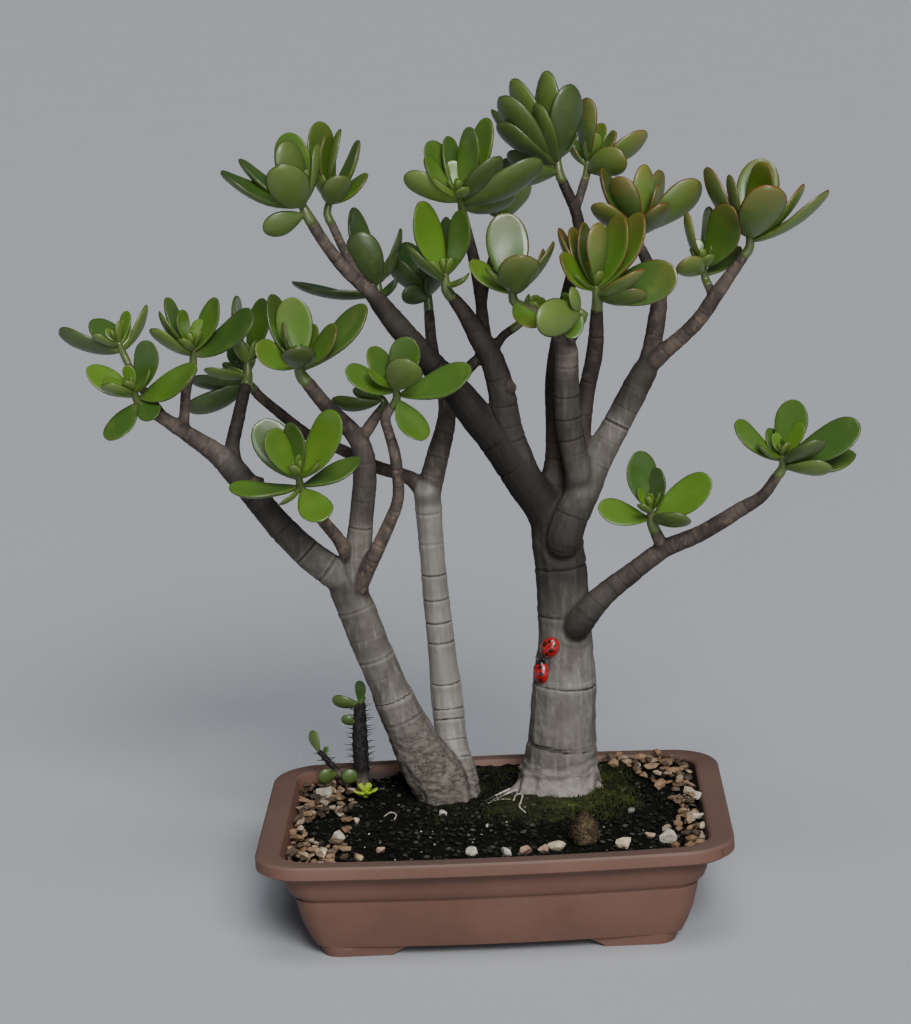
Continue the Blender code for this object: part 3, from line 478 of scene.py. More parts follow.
def ring_places(tree, limb, draw):
    """Where the rings lie along a limb, and how deep each one is, from 0 to 1."""
    points = smooth_route(TREES[tree][limb], 5.0)
    runs = np.concatenate([[0.0], np.cumsum(np.linalg.norm(np.diff(points[:, :3], axis=0), axis=1))])
    seen = SEEN_RINGS.get((tree, limb))
    if seen:
        rings = [float(np.interp(height, points[:, 2], runs)) for height in seen]
        last, faintest = runs[-1], 0.75
    else:
        last, faintest = draw.uniform(4.0, 9.0), 0.15
        rings = [last]
        while last < runs[-1]:
            radius = float(np.interp(last, runs, points[:, 3]))
            last += (4.5 + 1.15 * radius) * draw.uniform(0.6, 1.4)
            rings.append(last)
    rings = np.array([-BEFORE_FIRST, *rings, last + BEYOND_LAST])
    return rings, np.array([draw.uniform(faintest, 1.0) for _ in rings])


def ring_marks(name, places, limb, run):
    """For each place: its growth number, the gap between its rings in millimetres and their depth."""
    draw = random.Random(name)
    growth, gap, mark = (np.ones(len(places)) for _ in range(3))
    for number, (limb_name, route) in enumerate(TREES[name].items()):
        mine = limb == number
        rings, depths = ring_places(name, limb_name, draw)
        tilt = np.array([draw.uniform(-0.13, 0.13) for _ in range(3)])
        middle = np.array(route[len(route) // 2][:3], float)
        leaned = run[mine] + (places[mine] - middle) @ tilt * min(0.5, route[0][3] / 24.0)
        growth[mine] = np.interp(leaned, rings, np.arange(len(rings)))
        below = np.clip(growth[mine].astype(int), 0, len(rings) - 2)
        gap[mine] = np.diff(rings)[below]
        mark[mine] = depths[np.clip(np.round(growth[mine]).astype(int), 0, len(rings) - 1)]
    return growth, gap, mark


# %% Painted shade and light on the limbs
# How much shade is painted into each limb's bark at some heights above the floor, where the leaves shade
# it: 1 is black, 0 plain, and below 0 is paler bark, painted light on lit stems.
BLEND_PASSES = 14
LIMB_PAINTED_SHADE_AND_LIGHT = {
    "left_tree": {"trunk": [(0, 0.12)], "second": [(0, -0.5)], "second_up": [(0, 0.45)],
                  "second_left": [(0, 0.5)], "inner": [(240, 0.0), (260, 0.5)], "middle_up": [(0, 0.85)],
                  "outer": [(225, 0.3), (250, 0.75), (285, 0.8), (305, 0.3)], "outer_up": [(0, 0.4)]},
    "right_tree": {"trunk": [(0, -0.1), (155, 0.0), (205, 0.85)], "left_limb": [(360, 1.05), (400, 0.6)],
                   "left_tip_a": [(0, 0.3)], "left_tip_b": [(0, 0.2)], "left_cross": [(0, 0.8)],
                   "left_back": [(0, 0.9)], "mid_limb": [(0, 0.85)], "mid_up": [(0, 0.7)],
                   "mid_back": [(0, 0.8)], "mid_twig": [(0, 0.8)], "behind_left": [(0, 0.85)],
                   "behind_right": [(0, 0.75)],
                   "front_limb": [(250, 0.5), (290, 0.65), (335, 0.65), (365, 0.0)],
                   "right_limb": [(245, 0.9), (285, 0.2), (305, 0.1), (325, 0.75)],
                   "right_left": [(0, 0.5)], "right_right": [(350, 0.5), (370, 0.2)],
                   "low_limb": [(180, 0.9), (230, 0.4)]},
}


def painted_shade_and_light(bm, name, limb):
    """The painted shade at each vertex, negative where light is painted, blended where a shaded limb meets
    a lit one.
    """
    heights = np.array([vert.co.z for vert in bm.verts])
    dark = np.zeros(len(heights))
    for number, limb_name in enumerate(TREES[name]):
        mine = limb == number
        steps = LIMB_PAINTED_SHADE_AND_LIGHT[name].get(limb_name, [(0, 0.0)])
        dark[mine] = np.interp(heights[mine], *zip(*steps))
    ends = np.array([[vert.index for vert in edge.verts] for edge in bm.edges])
    for _ in range(BLEND_PASSES):
        total, count = dark.copy(), np.ones(len(dark))
        for first, second in ((0, 1), (1, 0)):
            np.add.at(total, ends[:, first], dark[ends[:, second]])
            np.add.at(count, ends[:, first], 1.0)
        dark = total / count
    return dark


# %% Old bark and the root crown
CROWN_TOP = 78.5


def old_bark(name, places, radius):
    """How gnarled the bark is: deeply at the left tree's foot and a little at the right one's."""
    if name == "left_tree":
        return np.clip((135.0 - places[:, 2]) / 45.0, 0.0, 1.0) * (radius > 11.5)
    return 0.3 * np.clip((125.0 - places[:, 2]) / 60.0, 0.0, 1.0) * (radius > 14.0)


def root_crown(name, places):
    """How far each place lies within the pale crown under the right trunk's lowest ring."""
    if name == "left_tree":
        return np.zeros(len(places))
    waver = np.array([noise.noise(Vector(place) * 0.08) for place in places])
    slope = 0.10 * (places[:, 0] - 40.0)
    return CROWN_TOP + slope + 2.5 * waver - places[:, 2]


# %% Grow the wood
VOXEL = 1.25
LOBES_TOP = 84.0


def join_limbs(name):
    """All the tubes of a tree, remeshed into one even skin."""
    bm = bmesh.new()
    for route in TREES[name].values():
        add_tube(bm, route)
    return remeshed(bm, name, VOXEL)


def soften(bm, verts, times):
    """Smooth some of a skin's vertices a number of times."""
    for _ in range(times):
        bmesh.ops.smooth_vert(bm, verts=verts, factor=0.5, use_axis_x=True, use_axis_y=True,
                              use_axis_z=True)


def foot_spread(place, radius):
    """How far the bark stands out in root lobes just above the soil."""
    if radius < 15.0 or place.z > LOBES_TOP:
        return 0.0
    lobes = 0.5 + noise.noise(Vector((place.x * 0.07, place.y * 0.07, 3.0)))
    return (LOBES_TOP - place.z) * 0.14 * lobes


def grow_tree(name, bark):
    """One tree's wood: its skin softened at the forks, then ringed, swollen and wrinkled."""
    bm = join_limbs(name)
    places = np.array([vert.co for vert in bm.verts])
    limb, run, radius, join = nearest_bark(places, limb_spans(TREES[name]))
    soften(bm, bm.verts, 1)
    soften(bm, [vert for vert, near in zip(bm.verts, join) if near > 0.25], 4)
    bm.normal_update()
    growth, gap, mark = ring_marks(name, places, limb, run)
    from_ring = np.abs(growth - np.round(growth)) * gap
    groove = mark * bell(from_ring, 0.0, GROOVE_WIDTH)
    swell = mark * bell(from_ring, 2.6, 2.0)
    collar = bell(join, 0.35, 0.22)
    depth = np.clip(0.030 * radius, 0.08, 0.5)
    push = (1.0 - join) * depth * (0.8 * swell - groove) + 0.035 * radius * collar
    push -= 0.05 * radius * np.clip(join - 0.7, 0.0, 1.0)
    bm.verts.index_update()
    crown = root_crown(name, places)
    # The dark layer holds each limb's painted shade and painted light.
    values = {"girth": radius, "growth": growth, "gap": gap, "mark": mark * (1.0 - join), "join": join,
              "dark": painted_shade_and_light(bm, name, limb), "aged": old_bark(name, places, radius),
              "crown": np.clip(crown / 2.0, 0.0, 1.0)}
    if name == "right_tree":
        push += 1.3 * bell(crown, 0.0, 1.6) - 0.8 * bell(crown, -3.0, 1.6)
    layers = {key: bm.verts.layers.float.new(key) for key in values}
    for i, vert in enumerate(bm.verts):
        wrinkle = 0.030 * noise.noise(vert.co * 0.11) + 0.016 * noise.noise(vert.co * 0.32)
        folds = Vector((vert.co.x * 0.13, vert.co.y * 0.13, vert.co.z * 0.17))
        wrinkle += 0.10 * values["aged"][i] * (0.3 - abs(noise.noise(folds)))
        outward = push[i] + wrinkle * radius[i] + foot_spread(vert.co, radius[i])
        vert.co += vert.normal * outward
        for key, layer in layers.items():
            vert[layer] = values[key][i]
    settle(name + "_wood", bm, bark, [name])


# %% [markdown]
# ## Bark
# Old jade bark is a smooth warm grey with paler streaks along the stem, a thin dark line in each
# ring's groove with a paler lip, and darker, redder skin on young twigs. The girth kept at each vertex
# chooses between the two, so one finish serves from the trunk to the tips. The coats over them paint
# shade onto the limbs that the leaves shade and into the crotches of the forks, paint light onto the
# lit stems, crack and flake the old foot, and whiten the crown above the roots.


# %% Bark finish
def bark_finish():
    """Grey trunk bark that darkens to brown twigs, with a dark line at each ring, and painted shade and
    light on some limbs.
    """
    bark = Finish("jade_bark", Specular_IOR_Level=0.14)
    kept = ("girth", "join", "mark", "dark", "aged", "crown", "growth", "gap")
    girth, join, mark, dark, aged, crown, growth, gap = (bark.attribute(name) for name in kept)
    phase = bark.node("Math", {"operation": "FRACT"}, {0: growth + 0.5})
    from_ring = abs(phase - 0.5) * gap + (bark.noise(240.0, 2.0) - 0.5) * 0.7
    streaks = bark.noise(300.0, 4.0, 0.65, (1.0, 1.0, 0.14))
    patches = bark.noise(48.0, 3.0, 0.6)
    specks = bark.noise(900.0, 3.0, 0.7)
    scars = bark.noise(210.0, 4.0, 0.65, (1.0, 1.0, 0.7))
    old = girth.step(5.0, 10.5)
    faint = bark.noise(26.0, 2.0).step(0.25, 0.55)
    line = from_ring.step(0.75, 0.05) * mark * (0.22 + old * 0.7) * faint
    lip = from_ring.step(0.6, 1.4) * from_ring.step(3.2, 1.5) * mark
    cracks = abs(bark.noise(120.0, 6.0, 0.7, (0.7, 0.7, 1.6)) - 0.5).step(0.03, 0.0) * aged
    flakes = bark.noise(170.0, 5.0, 0.7, (0.8, 0.8, 1.3)).step(0.48, 0.7) * aged
    grey = bark.coats(
        bark.mix(patches.step(0.3, 0.7), (0.100, 0.091, 0.078), (0.155, 0.145, 0.128)),
        (streaks.step(0.5, 0.75) * 0.55, (0.29, 0.275, 0.247)),
        (streaks.step(0.45, 0.25) * 0.5, (0.045, 0.038, 0.033)))
    young = bark.coats(
        bark.mix(patches.step(0.35, 0.7), (0.048, 0.040, 0.035), (0.125, 0.098, 0.082)),
        (streaks.step(0.55, 0.78) * 0.45, (0.19, 0.16, 0.14)),
        (scars.step(0.5, 0.68) * 0.65, (0.21, 0.145, 0.10)),
        (scars.step(0.42, 0.3) * 0.6, (0.022, 0.016, 0.013)))
    colour = bark.coats(
        bark.mix(old, young, grey),
        # Painted light where the dark layer is below 0, on lit stems, and painted shade where it is above
        # 0, on limbs shaded by the leaves.
        (dark * -0.5, (0.33, 0.318, 0.29)),
        (dark * 0.92, (0.013, 0.0115, 0.0105)),
        (aged * 0.4, (0.115, 0.097, 0.076)),
        (flakes * 0.3, (0.22, 0.20, 0.168)),
        (cracks * 0.25, (0.030, 0.024, 0.018)),
        (crown * 0.5, (0.30, 0.28, 0.245)),
        (lip * (0.03 + old * 0.15) * dark.step(0.7, 0.2), (0.38, 0.35, 0.31)),
        (line, (0.012, 0.009, 0.008)),
        # Painted shade in the crotches where limbs meet.
        (join.step(0.55, 1.0) * 0.6, (0.022, 0.018, 0.015)))
    rough_skin = streaks * 0.5 + specks * 0.25 + lip * 0.2
    bark.bump(rough_skin + flakes * 0.3 - cracks * 0.5 - line * 0.6, 0.0008, 0.85)
    sheen = dark.step(0.0, -0.5) * 0.5
    rough = 0.58 + streaks * 0.2 + line * 0.2
    return bark.surface(Base_Color=colour, Roughness=rough, Coat_Weight=sheen, Coat_Roughness=0.45)


BARK = bark_finish()
for tree_name in TREES:
    grow_tree(tree_name, BARK)

# %% [markdown]
# ## The leaves
# A jade leaf is a thick spoon: narrow at its root, widest past the middle, round at the tip, hollow on
# its upper face and swollen beneath. A flat card would lose that body. Each leaf is a ball drawn out
# along the leaf by a formula for its outline, thickness and sag. Each shoot below lists its leaves in
# the shoot's own leaning frame: the way they turn, how far they rise, their length and their twist.

# %% Shoots and their leaves
# For each shoot: its tree, its limb, the turn and tilt of its axis, and its leaves. Each leaf: its turn
# and lift in degrees, its length in millimetres and its twist in degrees.
SHOOTS = {
    "leaves_left_end": ("left_tree", "outer", (250, 35),
        [(145, 30, 38, 15), (35, 50, 38, 10), (355, 20, 49, 0), (300, 5, 26, 10),
         (225, -10, 33, -5), (225, 55, 30, 25)]),
    "leaves_left_end_back": ("left_tree", "outer_back", (200, 20),
        [(165, 35, 45, 50), (115, 35, 37, 20), (55, 50, 20, 25), (30, 35, 35, -25)]),
    "leaves_left_upper": ("left_tree", "outer_up", (270, 15),
        [(125, 50, 42, 40), (195, 60, 37, 5), (140, 75, 28, 20), (40, 55, 40, -10),
         (355, 35, 53, 25), (210, 45, 37, 20)]),
    "leaves_left_middle": ("left_tree", "middle_up", (90, 20),
        [(230, 80, 45, -60), (355, 75, 45, 40), (215, 5, 32, 5), (160, 20, 15, 30)]),
    "leaves_left_behind": ("left_tree", "second_left", (120, 30),
        [(195, 15, 38, 5), (170, -5, 45, 20), (195, 80, 23, -60)]),
    "leaves_inner_top": ("left_tree", "inner", (250, 25),
        [(185, 45, 33, -30), (80, 60, 44, 5), (125, 80, 29, 60), (285, 50, 39, -15),
         (0, 40, 40, 10), (25, 25, 60, -5), (105, 45, 52, 55), (65, 30, 33, -25)]),
    "leaves_inner_front": ("left_tree", "front", (260, 25),
        [(175, 35, 36, -15), (115, 35, 35, 20), (305, 55, 42, -45), (40, 60, 35, 30),
         (0, 15, 52, 5), (300, -30, 34, -10)]),
    "leaves_inner_dark": ("left_tree", "inner_twig", (180, 40),
        [(160, 35, 35, 45), (120, 40, 25, 30)]),
    "leaves_inner_low": ("left_tree", "inner_front", (265, 30),
        [(130, 40, 47, -15), (145, 60, 38, 5), (95, 60, 37, -55), (30, 50, 52, 15),
         (25, 5, 43, -20), (180, 5, 46, 15), (245, 15, 26, 50), (295, 0, 37, 10)]),
    "leaves_arch_left": ("right_tree", "left_tip_a", (160, 25),
        [(210, 45, 58, -35), (160, 60, 51, 5), (270, 35, 49, 0), (290, 60, 45, 20),
         (20, 75, 45, 55), (195, 5, 30, 45), (355, 50, 41, 5)]),
    "leaves_arch_right": ("right_tree", "left_tip_b", (0, 15),
        [(140, 65, 53, 0), (230, 70, 46, -60), (130, 85, 45, 50), (50, 70, 44, -30),
         (10, 50, 32, 15), (280, 45, 33, 15)]),
    "leaves_arch_back": ("right_tree", "left_back", (100, 20),
        [(215, 75, 52, -60), (250, 50, 42, 15), (340, 60, 40, 25), (170, 15, 60, -5),
         (300, 5, 26, 55)]),
    "leaves_second_top": ("left_tree", "second_up", (90, 15),
        [(205, 40, 34, 25), (225, 10, 23, 60), (155, 65, 37, -20), (290, 30, 36, 25),
         (40, 85, 34, 0)]),
    "leaves_centre_low": ("right_tree", "mid_limb", (260, 10),
        [(160, 75, 51, -15), (210, 50, 38, -5), (355, 70, 46, 35), (85, 55, 42, -60),
         (310, 25, 24, 20)]),
    "leaves_centre_top": ("right_tree", "mid_up", (260, 25),
        [(185, 40, 42, 60), (120, 45, 44, 20), (185, 60, 38, -5), (50, 65, 46, -15),
         (55, 45, 56, -25), (340, 50, 45, -40), (0, 25, 60, -60), (95, 40, 45, 60),
         (25, -10, 38, -60)]),
    "leaves_crown": ("right_tree", "behind_left", (100, 15),
        [(205, 35, 49, 5), (220, 45, 60, -5), (190, 65, 60, 15), (255, 80, 56, -45),
         (290, 55, 54, 25), (255, 45, 48, -50), (170, 45, 57, -10), (165, 20, 36, 25),
         (215, -5, 35, 25)]),
    "leaves_crown_right": ("right_tree", "behind_side", (60, 15),
        [(155, 45, 22, 20), (260, 65, 44, -45), (45, 70, 29, -5), (320, 45, 31, 60),
         (310, 15, 37, -45), (0, 35, 46, -20)]),
    "leaves_right_back": ("right_tree", "right_left", (80, 20),
        [(215, 50, 47, -55), (245, 45, 42, -20), (295, 75, 40, 25), (305, 50, 34, 50),
         (225, 20, 42, 5), (335, 35, 53, -15), (295, 20, 39, 15), (25, 65, 43, -50)]),
    "leaves_right_front": ("right_tree", "behind_right", (260, 20),
        [(195, 55, 37, -25), (110, 45, 46, 45), (100, 60, 44, 55), (5, 85, 44, -40),
         (45, 55, 51, -15), (35, 45, 58, -10), (355, 15, 54, 50), (325, 35, 43, -15),
         (340, 10, 34, -60), (120, 40, 50, 55)]),
    "leaves_right_droop": ("right_tree", "front_twig", (200, 60),
        [(250, 50, 44, 55), (220, 15, 20, -55)]),
    "leaves_centre_front": ("right_tree", "front_limb", (265, 15),
        [(95, 55, 51, 0), (283, 49, 50, -8), (155, 35, 35, 0), (30, 40, 42, -40),
         (50, 30, 38, -60), (300, -22, 27, 0)]),
    "leaves_right_side": ("right_tree", "right_side", (250, 20),
        [(335, 60, 52, 60), (145, 80, 38, 45), (235, 40, 31, 50), (35, 15, 32, -10),
         (70, 50, 42, -45)]),
    "leaves_right_end": ("right_tree", "right_right", (260, 10),
        [(290, 50, 57, -15), (350, 75, 48, 50), (60, 60, 51, 25), (175, 75, 41, 10),
         (25, 35, 51, -30), (0, 30, 60, -20), (135, 50, 54, 55)]),
    "leaves_low_end": ("right_tree", "low_limb", (260, 25),
        [(165, 45, 41, 0), (105, 35, 25, 30), (60, 50, 40, -5), (330, 40, 38, -45),
         (10, 20, 56, 15), (15, -5, 50, -5), (335, 10, 34, -60)]),
    "leaves_low_side": ("right_tree", "low_twig", (260, 20),
        [(175, 20, 36, -15), (105, 65, 41, 20), (0, 75, 32, 25), (5, 30, 47, 30),
         (320, 20, 32, -55)]),
    "leaves_centre_back": ("right_tree", "mid_back", (90, 20),
        [(335, 80, 39, 60), (315, 45, 36, 5), (190, 60, 19, 55), (310, 10, 16, -35)]),
    "leaves_centre_small": ("right_tree", "mid_twig", (0, 40),
        [(70, 65, 19, -20), (340, 40, 17, 40)]),
}
# Shoots that are dark and bluish, as those in the shade are, and those that blush red in the sun.
SHADED = {"leaves_left_behind": 0.9, "leaves_arch_back": 0.8, "leaves_second_top": 1.0,
          "leaves_inner_dark": 0.7, "leaves_crown": 0.35, "leaves_arch_left": 0.25,
          "leaves_arch_right": 0.25}
BLUSHING = {"leaves_right_front": 1.0, "leaves_right_back": 0.9, "leaves_crown_right": 0.8,
            "leaves_right_end": 0.7, "leaves_centre_front": 0.5, "leaves_arch_right": 0.4,
            "leaves_right_side": 0.6, "leaves_inner_top": 0.3}
print("leaves:", sum(len(shoot[3]) for shoot in SHOOTS.values()))

# %% One leaf
LEAF_ROOT = 2.0
LEAF_SIDES = 16
LEAF_RINGS = 14
OUTLINE_PEAK = 0.403
LEAF_LAYERS = ("leaf_place", "leaf_tint")


def add_leaf(bm, root, way, axis, length, breadth, roll, tone, blush):
    """Add one thick oval leaf, hollow side up, and mark its rim, root, face and tint."""
    half_width = 0.5 * breadth * length
    half_thick = 0.042 * length + 0.6
    across = axis.cross(way).normalized()
    across.rotate(Matrix.Rotation(roll, 3, way))
    up = way.cross(across)
    place_layer, tint_layer = (bm.verts.layers.float_color[name] for name in LEAF_LAYERS)
    ball = bmesh.ops.create_uvsphere(bm, u_segments=LEAF_SIDES, v_segments=LEAF_RINGS, radius=1.0)
    for vert in ball["verts"]:
        share = 0.5 + 0.5 * vert.co.z
        outline = share ** 0.85 * (1.0 - share) ** 0.52 / OUTLINE_PEAK
        ring = math.hypot(vert.co.x, vert.co.y)
        edge = vert.co.x / ring if ring > 1e-6 else 0.0
        face = vert.co.y / ring if ring > 1e-6 else 0.0
        waist = min(1.0, ring * 2.0)
        side = edge * max(half_width * outline, LEAF_ROOT * waist)
        body = half_thick * (0.75 if face > 0.0 else 1.15)
        thick = face * max(body * ring ** 0.6, 0.8 * LEAF_ROOT * waist * (1.0 - share))
        sag = 0.30 * length * share * (1.0 - share)
        cup = 0.16 * half_width * edge * edge * outline
        wave = 0.022 * length * edge * math.sin(5.0 * share + 9.0 * tone) * outline
        vert.co = root + way * (share * length) + across * side + up * (thick + cup + wave - sag)
        rim = 1.0 - abs(face) * min(1.0, 1.5 * ring)
        vert[place_layer] = (rim if share > 0.2 else 0.0, share, 0.5 + 0.5 * face, 1.0)
        vert[tint_layer] = (tone, blush, 0.0, 1.0)


def shoot_frame(lean):
    """The rotation that takes the vertical to the shoot's own axis by the shortest way."""
    turn, tilt = (math.radians(angle) for angle in lean)
    axis = Vector((math.sin(tilt) * math.cos(turn), math.sin(tilt) * math.sin(turn), math.cos(tilt)))
    return UP.rotation_difference(axis).to_matrix()


# %% [markdown]
# ## Leaf skin
# The skin is waxy: bright green and glossy above, olive and duller beneath, with a thin darker rim
# that turns red-brown in the sun. Shaded shoots are a deep bluish green. Each leaf carries its own
# tint number, so that no two are quite alike, and the finish mixes the greens from it.


# %% Leaf finish
def leaf_finish():
    """Waxy jade skin with a lighter upper face, an olive underside and a rim that can blush."""
    skin = Finish("jade_leaf", Specular_IOR_Level=0.5, Coat_Roughness=0.18, IOR=1.45)
    rim, along, upper = (skin.attribute("leaf_place", part) for part in range(3))
    tone, blush = (skin.attribute("leaf_tint", part) for part in range(2))
    mottle = skin.noise(70.0, 3.0, 0.6)
    fine = skin.noise(900.0, 2.0, 0.6)
    bright = skin.mix(tone, (0.024, 0.060, 0.015), (0.088, 0.180, 0.017))
    olive = skin.mix(tone, (0.030, 0.056, 0.017), (0.118, 0.186, 0.034))
    dark_rim = skin.mix(blush.step(0.1, 0.7), (0.035, 0.040, 0.010), (0.15, 0.028, 0.012))
    woody = along.step(0.13, 0.04) * (0.35 + mottle.step(0.35, 0.6) * 0.45)
    glow = blush * (along.step(0.55, 1.0) * 0.35 + mottle.step(0.5, 0.8) * 0.15)
    colour = skin.coats(
        skin.mix(upper.step(0.3, 0.7), olive, bright),
        (mottle.step(0.5, 0.8) * 0.25, (0.17, 0.24, 0.035)),
        (woody, (0.075, 0.066, 0.034)),
        (along.step(0.26, 0.0) * 0.35, (0.13, 0.18, 0.05)),
        (glow, (0.24, 0.085, 0.022)),
        (rim.step(0.66, 0.98) * 0.85, dark_rim))
    skin.bump(fine * 0.3 + mottle * 0.7, 0.0005, 0.35)
    rough = 0.27 + mottle * 0.16 + upper.step(0.7, 0.2) * 0.12
    return skin.surface(Base_Color=colour, Roughness=rough, Coat_Weight=0.22 + 0.2 * upper)


LEAF = leaf_finish()


# %% Buds
BUD_PAIRS = [(0.72, 46, 22), (0.88, 62, 15), (0.97, 78, 10)]


def add_bud(bm, name, meet, axis, rise, lean_frame, shade):
    """The youngest leaves at a shoot's tip: small pairs, each crosswise to the pair below."""
    draw = random.Random("bud " + name)
    turn = draw.uniform(0, 180)
    for share, lift, length in BUD_PAIRS:
        for side in (0, 180):
            way = lean_frame @ direction(turn + side + draw.uniform(-8, 8), lift)
            size = length * draw.uniform(0.8, 1.15)
            root = meet + axis * (rise * share) + way * 0.6
            add_leaf(bm, root, way, axis, size, 0.55, 0.0, 0.95 - 0.75 * shade, 0.05)
        turn += 90


# %% Grow the shoots
SHOOT_RISE = 12.0
SHOOT_REACH = 6.0


def grow_shoot(name):
    """A leafy shoot: the limb's green tip with its leaves rooted round it."""
    tree, limb, lean, leaves = SHOOTS[name]
    route = TREES[tree][limb]
    before, end, radius = Vector(route[-2][:3]), Vector(route[-1][:3]), route[-1][3]
    out = (end - before).normalized()
    meet = end + out * SHOOT_REACH
    lean_frame = shoot_frame(lean)
    axis = lean_frame @ UP
    rise = SHOOT_RISE if len(leaves) > 3 else 0.5 * SHOOT_RISE
    tip = meet + axis * rise
    bm = layered_bmesh(*LEAF_LAYERS)
    start = end - out * 1.5
    stem = [(*start, radius * 0.96), (*meet, max(radius * 0.9, 2.6)), (*tip, 2.0)]
    add_tube(bm, stem, resolution=3)
    shade = SHADED.get(name, 0.0)
    blush = BLUSHING.get(name, 0.08)
    place_layer, tint_layer = (bm.verts.layers.float_color[layer] for layer in LEAF_LAYERS)
    for vert in bm.verts:
        vert[place_layer] = (0.0, 0.06, 0.5, 1.0)
        vert[tint_layer] = (0.45 * (1.0 - shade), blush * 0.5, 0.0, 1.0)
    draw = random.Random(name)
    for turn, lift, length, twist in leaves:
        way = lean_frame @ direction(turn, lift)
        root = meet + axis * (rise * max(lift, 0) / 100.0) + way
        roll = math.radians(twist + draw.uniform(-4, 4))
        tone = draw.uniform(0.25, 1.0) * (1.0 - 0.8 * shade)
        breadth = 0.40 + 7.5 / max(length, 32)
        sunned = blush * draw.uniform(0.4, 1.0)
        add_leaf(bm, root, way, axis, length - 1.0, breadth, roll, tone, sunned)
    add_bud(bm, name, meet, axis, rise, lean_frame, shade)
    settle(name.replace("leaves", "shoot"), bm, LEAF, [name])


for shoot_name in SHOOTS:
    grow_shoot(shoot_name)

# %% [markdown]
# ## The tray
# The tray is moulded plastic made to look like unglazed clay. Its long sides bow a little, its rim is
# a wide flat band with a stepped band under it, and it stands on four corner feet. One outline rule
# gives the shape at every level; rings of vertices follow it and are bridged, and a Bevel modifier
# rounds the mould's edges.

# %% Tray outline
RIM_LENGTH = 300.0
RIM_WIDTH = 213.6
SIDE_BOW = 7.0
CORNER_RADIUS = 30.0
CORNER_STEPS = 8
SIDE_STEPS = 14
SHORT_SIDE_TAPER = 0.74


def tray_outline(inset):
    """The tray's outline inset from the rim's edge: a rounded rectangle with bowed long sides."""
    half_x = RIM_LENGTH / 2 - inset
    half_y = RIM_WIDTH / 2 - inset * SHORT_SIDE_TAPER
    radius = max(CORNER_RADIUS - 0.6 * inset, 10.0)
    outline = []
    for quarter, (side_x, side_y) in enumerate([(1, 1), (-1, 1), (-1, -1), (1, -1)]):
        for step in range(CORNER_STEPS + 1):
            angle = math.radians(90.0 * (quarter + step / CORNER_STEPS))
            outline.append((side_x * (half_x - radius) + radius * math.cos(angle),
                            side_y * (half_y - radius) + radius * math.sin(angle)))
        if quarter in (0, 2):
            for step in range(1, SIDE_STEPS):
                x = side_x * (half_x - radius) * (1.0 - 2.0 * step / SIDE_STEPS)
                outline.append((x, side_y * half_y))
    return [(x, y + SIDE_BOW * max(0.0, 1.0 - (x / half_x) ** 2) * y / half_y) for x, y in outline]


def add_level(bm, outline, height):
    """Add a ring of edges along an outline at a height, and return its edges."""
    verts = bmesh.ops.create_circle(bm, cap_ends=False, segments=len(outline), radius=1.0)["verts"]
    for vert, (x, y) in zip(verts, outline):
        vert.co = (x, y, height)
    return list({edge for vert in verts for edge in vert.link_edges})


def add_wall(bm, levels):
    """Bridge rings of one size, from the first level to the last, and close the two ends."""
    rings = [add_level(bm, outline, height) for outline, height in levels]
    for low, high in zip(rings, rings[1:]):
        bmesh.ops.bridge_loops(bm, edges=low + high)
    for ring in (rings[0], rings[-1]):
        bmesh.ops.contextual_create(bm, geom=ring)
    bmesh.ops.recalc_face_normals(bm, faces=bm.faces)


# %% [markdown]
# ## Tray plastic
# Matt brown with a faint mottle, rubbed paler on top of the rim and scuffed here and there, with a dark
# band painted on the inner wall just above the soil. The colour barely varies, so the finish leans on
# roughness and a fine moulded grain.


# %% Tray finish
def tray_finish():
    """Brown moulded plastic with a fine grain, pale scuffs and a dusty bloom."""
    tray = Finish("tray_plastic", Specular_IOR_Level=0.3)
    cloud = tray.noise(14.0, 4.0, 0.6)
    grain = tray.noise(1400.0, 2.0, 0.5)
    scratch = tray.noise(90.0, 3.0, 0.7, (0.25, 1.0, 3.0))
    across, deep, height = (tray.node("SeparateXYZ", {}, {0: tray.place()}, i) for i in range(3))
    inside = abs(across - TRAY_MIDDLE.x).step(0.1425, 0.1405) * abs(deep - TRAY_MIDDLE.y).step(0.1, 0.098)
    # The inner wall just above the soil is painted nearly black, all round but for the left end.
    dark_band_above_soil = inside * height.step(0.0590, 0.0596) * height.step(0.0676, 0.0655) * across.step(-0.115, -0.075)
    colour = tray.coats(
        tray.mix(cloud.step(0.3, 0.7), (0.112, 0.057, 0.042), (0.144, 0.075, 0.056)),
        (height.step(0.0660, 0.0684) * 0.45, (0.125, 0.092, 0.078)),
        (scratch.step(0.68, 0.78) * 0.35, (0.34, 0.22, 0.17)),
        (grain.step(0.55, 0.8) * 0.15, (0.26, 0.15, 0.11)),
        (dark_band_above_soil * 0.88, (0.011, 0.011, 0.008)))
    tray.bump(grain * 0.8 + cloud * 0.2, 0.00022, 0.5)
    rough = 0.52 + cloud * 0.14 + scratch.step(0.66, 0.8) * 0.15
    return tray.surface(Base_Color=colour, Roughness=rough)


TRAY = tray_finish()

